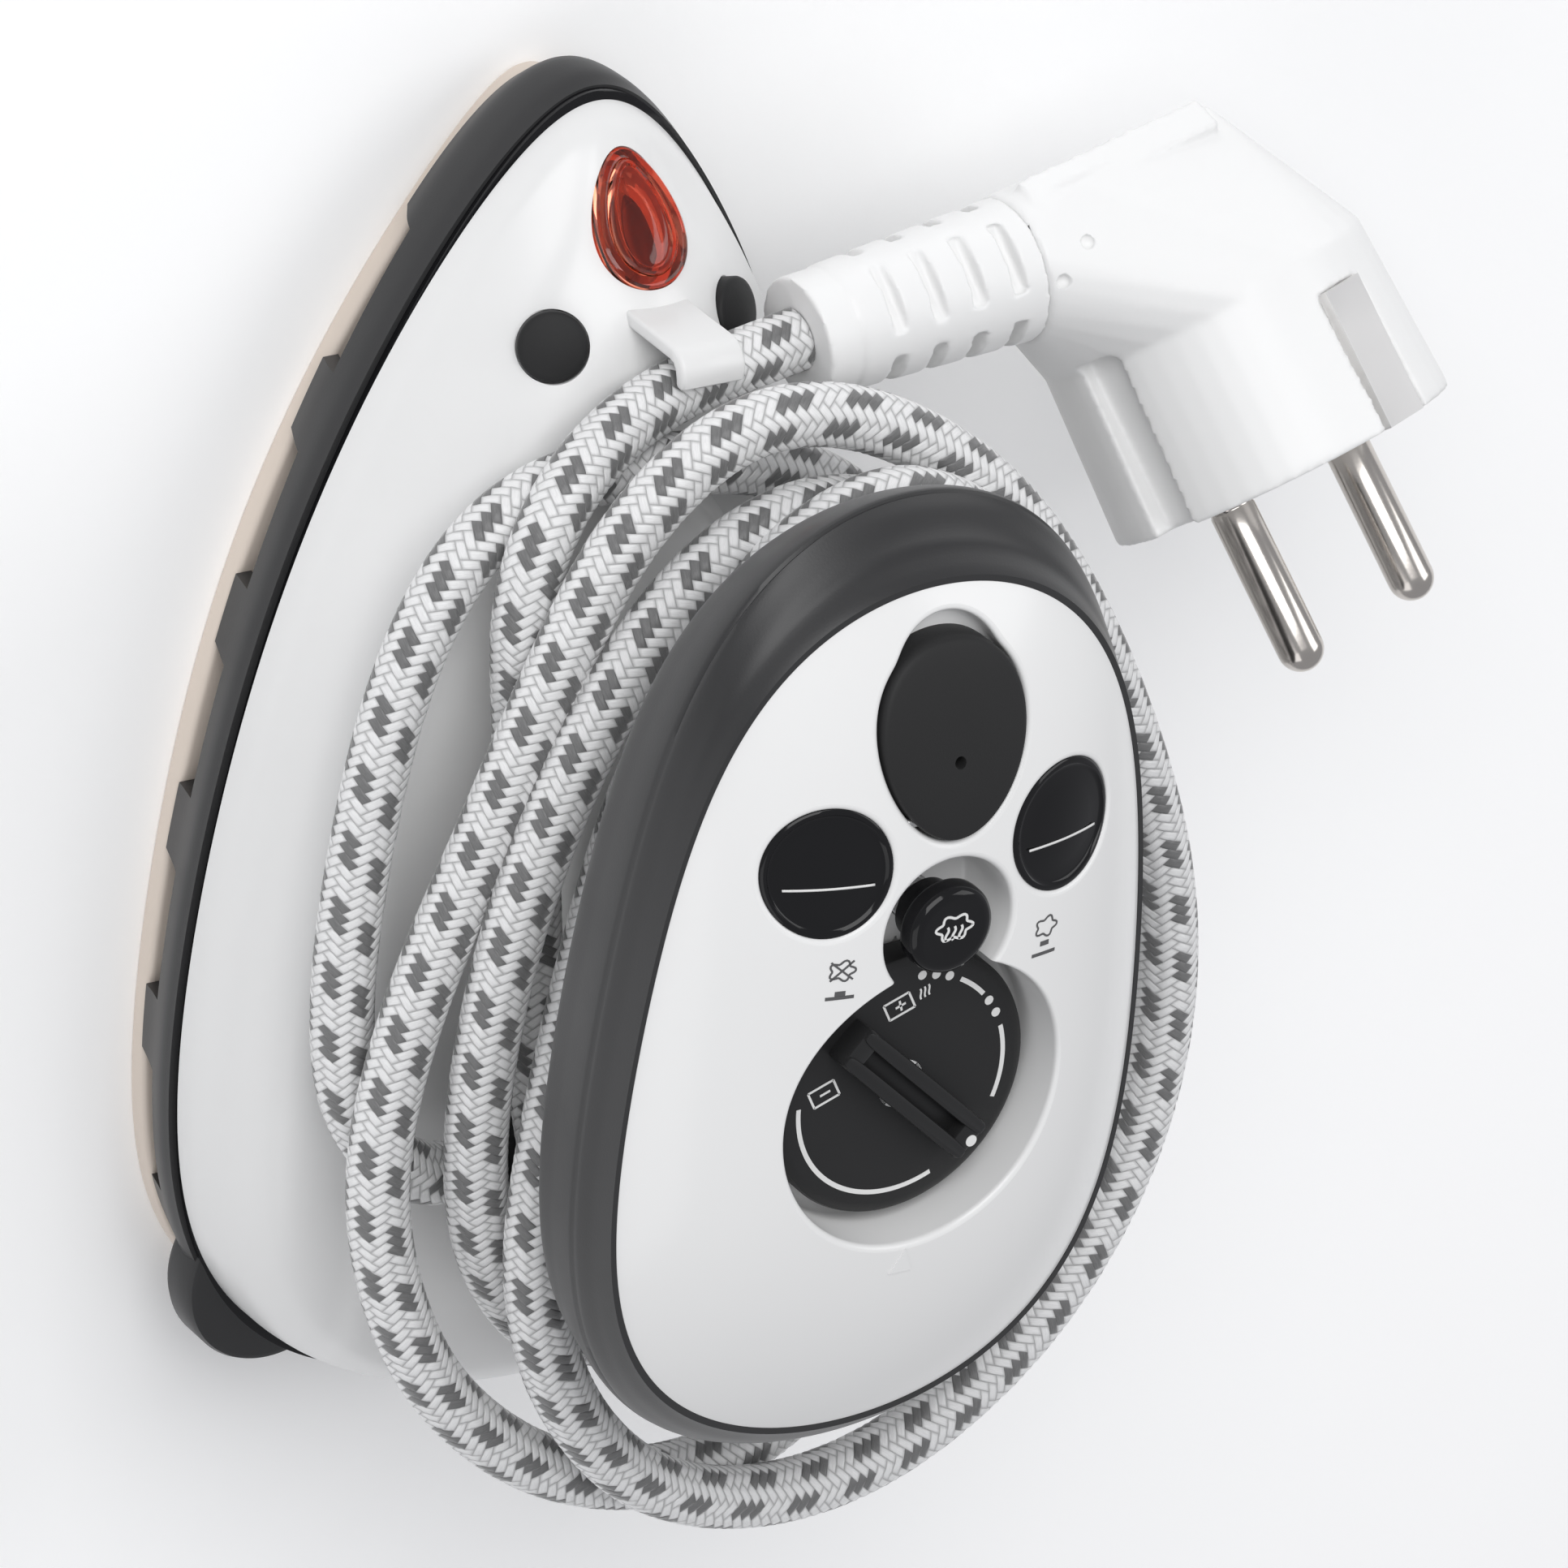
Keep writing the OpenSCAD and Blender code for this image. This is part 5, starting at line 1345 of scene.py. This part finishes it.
@dataclass
class Controls:
    """The dial, the steam knob and the filler cap."""

    dial_y: float = DIAL_Y
    dial_radius: float = 14.4
    dial_face: float = CROWN - 5.1
    mark_radius: float = 11.9
    grip_turn: float = -42.0
    knob_y: float = KNOB_Y
    knob_radius: float = 4.8
    grip_half: float = 10.4
    rib_rise: float = 2.85
    web_rise: float = 1.1
    end_rise: float = 2.6
    index_rise: float = 2.62
    index_reach: float = 10.0
    cap_proud: float = 0.38

    def dial(self) -> None:
        """The dial: an edge bevel, a grip bar with two ribs and a slot between them."""
        r, top = self.dial_radius, self.dial_face
        profile = np.array([(0, 79), (r - 0.3, 79), (r, 79.3), (r, top - 0.7), (r - 0.2, top - 0.25),
                            (r - 0.7, top), (r - 1.2, top), (0, top)])
        plate = turned("dial_plate", profile, stand(0, self.dial_y, 0), 180)
        place = stand(0, self.dial_y, 0, (0, 0, self.grip_turn))
        bars = []
        for shift in (-1.55, 1.55):
            bars.append(self.bar("rib", self.grip_half, 0.8, top - 0.1, top + self.rib_rise,
                                 place @ Matrix.Translation((0, shift, 0))))
        bars.append(self.bar("web", self.grip_half, 1.2, top - 0.1, top + self.web_rise, place))
        for end in (-1, 1):
            bars.append(self.bar("end", 1.2, 2.3, top - 0.1, top + self.end_rise,
                                 place @ Matrix.Translation((end * 9.3, 0, 0))))
        piece = joined("dial_wheel", [plate, *bars])
        fit(piece, DIAL_BLACK, "skirt", DIAL, "dial")

    def bar(self, name: str, half_long: float, half_wide: float, low: float, high: float,
            place: Matrix) -> bpy.types.Object:
        """A bar with round ends and an eased head."""
        t = np.linspace(0, TAU, 64, endpoint=False)
        power = 0.35
        x = np.sign(np.cos(t)) * np.abs(np.cos(t)) ** power
        y = np.sign(np.sin(t)) * np.abs(np.sin(t)) ** power
        outline = np.column_stack([x, y])
        rows = [level(outline * (half_long - inset, half_wide - inset), z) for inset, z in (
            (0, low), (0, high - 0.35), (0.1, high - 0.1), (0.35, high))]
        return loft(name, place_points(np.stack(rows), place), sharp=50)

    def stroke(self, name: str, line: np.ndarray, width: float, height: float) -> bpy.types.Object:
        """A flat raised stroke along a line at one height."""
        return ribbon(name, line, width, (-0.03, 0.05), lambda p: height)

    def arc(self, start: float, end: float, radius: float) -> np.ndarray:
        """Points on a circle round the dial's axis, angles in degrees from +X."""
        a = np.radians(np.linspace(start, end, 40))
        return np.column_stack([radius * np.cos(a), self.dial_y + radius * np.sin(a)])

    def marks(self) -> None:
        """The heat scale: three dots, a bar, two dots, an arc, the index and a long arc."""
        top, r = self.dial_face, self.mark_radius
        pieces = []
        for angle, size in ((85.4, 0.5), (77.2, 0.5), (69, 0.5), (37.8, 0.5), (29.0, 0.5), (-41.8, 0.62)):
            a = math.radians(angle)
            on_grip = angle < 0
            lift = self.index_rise if on_grip else 0.0
            reach = self.index_reach if on_grip else r
            profile = np.array([(0, top + lift - 0.03), (size, top + lift - 0.03),
                                (size, top + lift + 0.04), (0, top + lift + 0.05)])
            spot = stand(reach * math.cos(a), self.dial_y + reach * math.sin(a), 0)
            pieces.append(turned("dot", profile, spot, 24))
        for start, end, width in ((61.6, 43.6, 0.5), (20.4, -18.9, 0.5), (-66, -178, 0.5)):
            pieces.append(self.stroke("arc", self.arc(start, end, r), width, top))
        for sign_angle, plus in ((97.7, True), (174.9, False)):
            a = math.radians(sign_angle)
            middle = np.array([9.0 * math.cos(a), self.dial_y + 9.0 * math.sin(a)])
            turn = np.array([[math.cos(0.35), -math.sin(0.35)], [math.sin(0.35), math.cos(0.35)]])
            box = np.array([(-1.5, -1), (1.5, -1), (1.2, 1), (-1.8, 1), (-1.5, -1)]) @ turn.T
            for k in range(4):
                t = np.linspace(0, 1, 6)[:, None]
                pieces.append(self.stroke("box", middle + box[k] * (1 - t) + box[k + 1] * t, 0.24, top))
            t = np.linspace(-0.6, 0.6, 6)
            pieces.append(self.stroke("dash", middle + np.column_stack([t, 0 * t]) @ turn.T, 0.24, top))
            if plus:
                pieces.append(self.stroke("dash", middle + np.column_stack([0 * t, t]) @ turn.T, 0.24, top))
                for k in range(3):
                    wave = np.column_stack([2.4 + 0.5 * k + 0.12 * np.sin(4 * t), t]) @ turn.T
                    pieces.append(self.stroke("wave", middle + wave, 0.2, top))
        piece = joined("dial_scale", pieces)
        fit(piece, PRINT_WHITE, "white_matte", DIAL)

    def knob(self) -> None:
        """The steam knob: a black mushroom with a puff of steam printed on it."""
        low, high = node_box("steam_knob")
        top, r = high[2], self.knob_radius
        profile = np.array([
            (0, low[2]), (3.3, low[2]), (3.3, top - 2.9), (3.7, top - 2.65), (r - 0.3, top - 2.6),
            (r - 0.05, top - 2.3), (r, top - 1.9), (r - 0.05, top - 0.9), (r - 0.3, top - 0.35),
            (r - 0.8, top - 0.05), (r - 1.3, top - 0.02), (1.5, top - 0.14), (0, top - 0.16)])
        piece = turned("steam_button", profile, stand(0, self.knob_y, 0), 96)
        fit(piece, BLACK_GLOSS, "black_gloss", VALVE, "steam_knob")
        t = np.linspace(0, TAU, 60)
        strokes = [np.column_stack([(1.9 + 0.28 * np.cos(6 * t)) * np.cos(t),
                                    self.knob_y + 0.5 + (1.25 + 0.22 * np.cos(6 * t)) * np.sin(t)])]
        for x in (-0.8, 0.0, 0.8):
            k = np.linspace(-1, 1, 12)
            strokes.append(np.column_stack([x + 0.15 * np.sin(3 * k), self.knob_y - 0.1 + 0.75 * k]))
        signs = joined("steam_sign", [self.stroke("puff", s, 0.26, top - 0.08) for s in strokes])
        fit(signs, PRINT_WHITE, "white_matte", VALVE)

    def filler(self) -> None:
        """The rubber filler cap: an egg that stands just proud, with a breather hole."""
        hole = (0.0, FILLER_Y - 1.9)
        well = Recess("filler_form", hole, 80.0, egg=(FILLER_HALF, FILLER_WIDE, FILLER_Y), count=192)
        reach = well.reach()
        angle = TAU * np.arange(192) / 192
        rows = []
        for share, drop in ((0.72, 3.2), (0.995, 3.2), (1.0, 2.6), (1.0, 0.5), (0.99, 0.2),
                            (0.97, 0.06), (0.93, 0.0), (0.8, -0.05), (0.6, -0.08),
                            (0.4, -0.08), (0.2, -0.05), (0.0, 0.0)):
            r = 0.65 + (reach - 0.65) * share
            x, y = hole[0] + r * np.cos(angle), hole[1] + r * np.sin(angle)
            rows.append(np.column_stack([x, y, dome_height(x, y) + self.cap_proud - drop]))
        x, y = hole[0] + 0.6 * np.cos(angle), hole[1] + 0.6 * np.sin(angle)
        rows.append(np.column_stack([x, y, dome_height(x, y) - 0.1]))
        rows.append(np.column_stack([x, y, dome_height(x, y) - 2.4]))
        piece = loft("rubber_filler_cap", np.stack(rows))
        fit(piece, CAP_RUBBER, "black_rubber", LID, "filler_cap")
        low, high = node_box("filler_hinge_pin")
        middle = (low + high) / 2
        wire = turned("hinge_wire", np.array([(0, -5.5), (0.5, -5.5), (0.58, -5.3), (0.58, 5.3),
                                              (0.5, 5.5), (0, 5.5)]),
                      stand(0, middle[1], middle[2] - 0.15, (0, 90, 0)), 24)
        fit(wire, STEEL, "steel", BODY, "filler_hinge_pin")

    def build(self) -> None:
        """Dial, scale, knob and filler cap."""
        self.dial()
        self.marks()
        self.knob()
        self.filler()


@dataclass
class InnerWorks:
    """The pieces inside, kept as the frame has them, each with its finish."""

    finishes: dict[str, Finish] = field(default_factory=lambda: {
        "heater_casting": CAST_ALLOY, "chamber_lid": CAST_ALLOY, "heating_element": STEEL,
        "chamber_seal": SEAL_RED, "drip_valve_seat": SEAL_RED, "case_screws": STEEL,
        "sole_screws": STEEL, "thermostat_bracket": STEEL, "thermal_fuse": STEEL,
        "valve_rod": STEEL, "valve_spring": STEEL,
        "thermostat": CERAMIC_PALE, "terminal_block": CERAMIC_PALE, "inner_wires": WIRE_BLUE,
        "lamp_holder": PLUG_WHITE, "water_pipe": PLUG_WHITE, "dial_shaft": PLUG_WHITE,
        "indicator_lamp": LAMP_GLASS, "water_tank": TANK_CLEAR, "tank_seal": CAP_RUBBER,
        "cord_clamp": CAP_RUBBER, "cord_relief": CAP_RUBBER, "handle_base": SKIRT_GREY})

    def build(self) -> None:
        """Dresses each node."""
        for node, finish in self.finishes.items():
            dress(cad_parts[node], finish)


def main() -> None:
    """Builds the studio, the cord with its plug, and then the iron from the sole up."""
    Studio().build()
    TextileCord().build(MainsPlug().build())
    Underside().build()
    ShellBody().build()
    PalmDisc().build()
    Controls().build()
    InnerWorks().build()


if __name__ == "__main__":
    logging.basicConfig(level=logging.INFO, format="%(message)s")
    main()
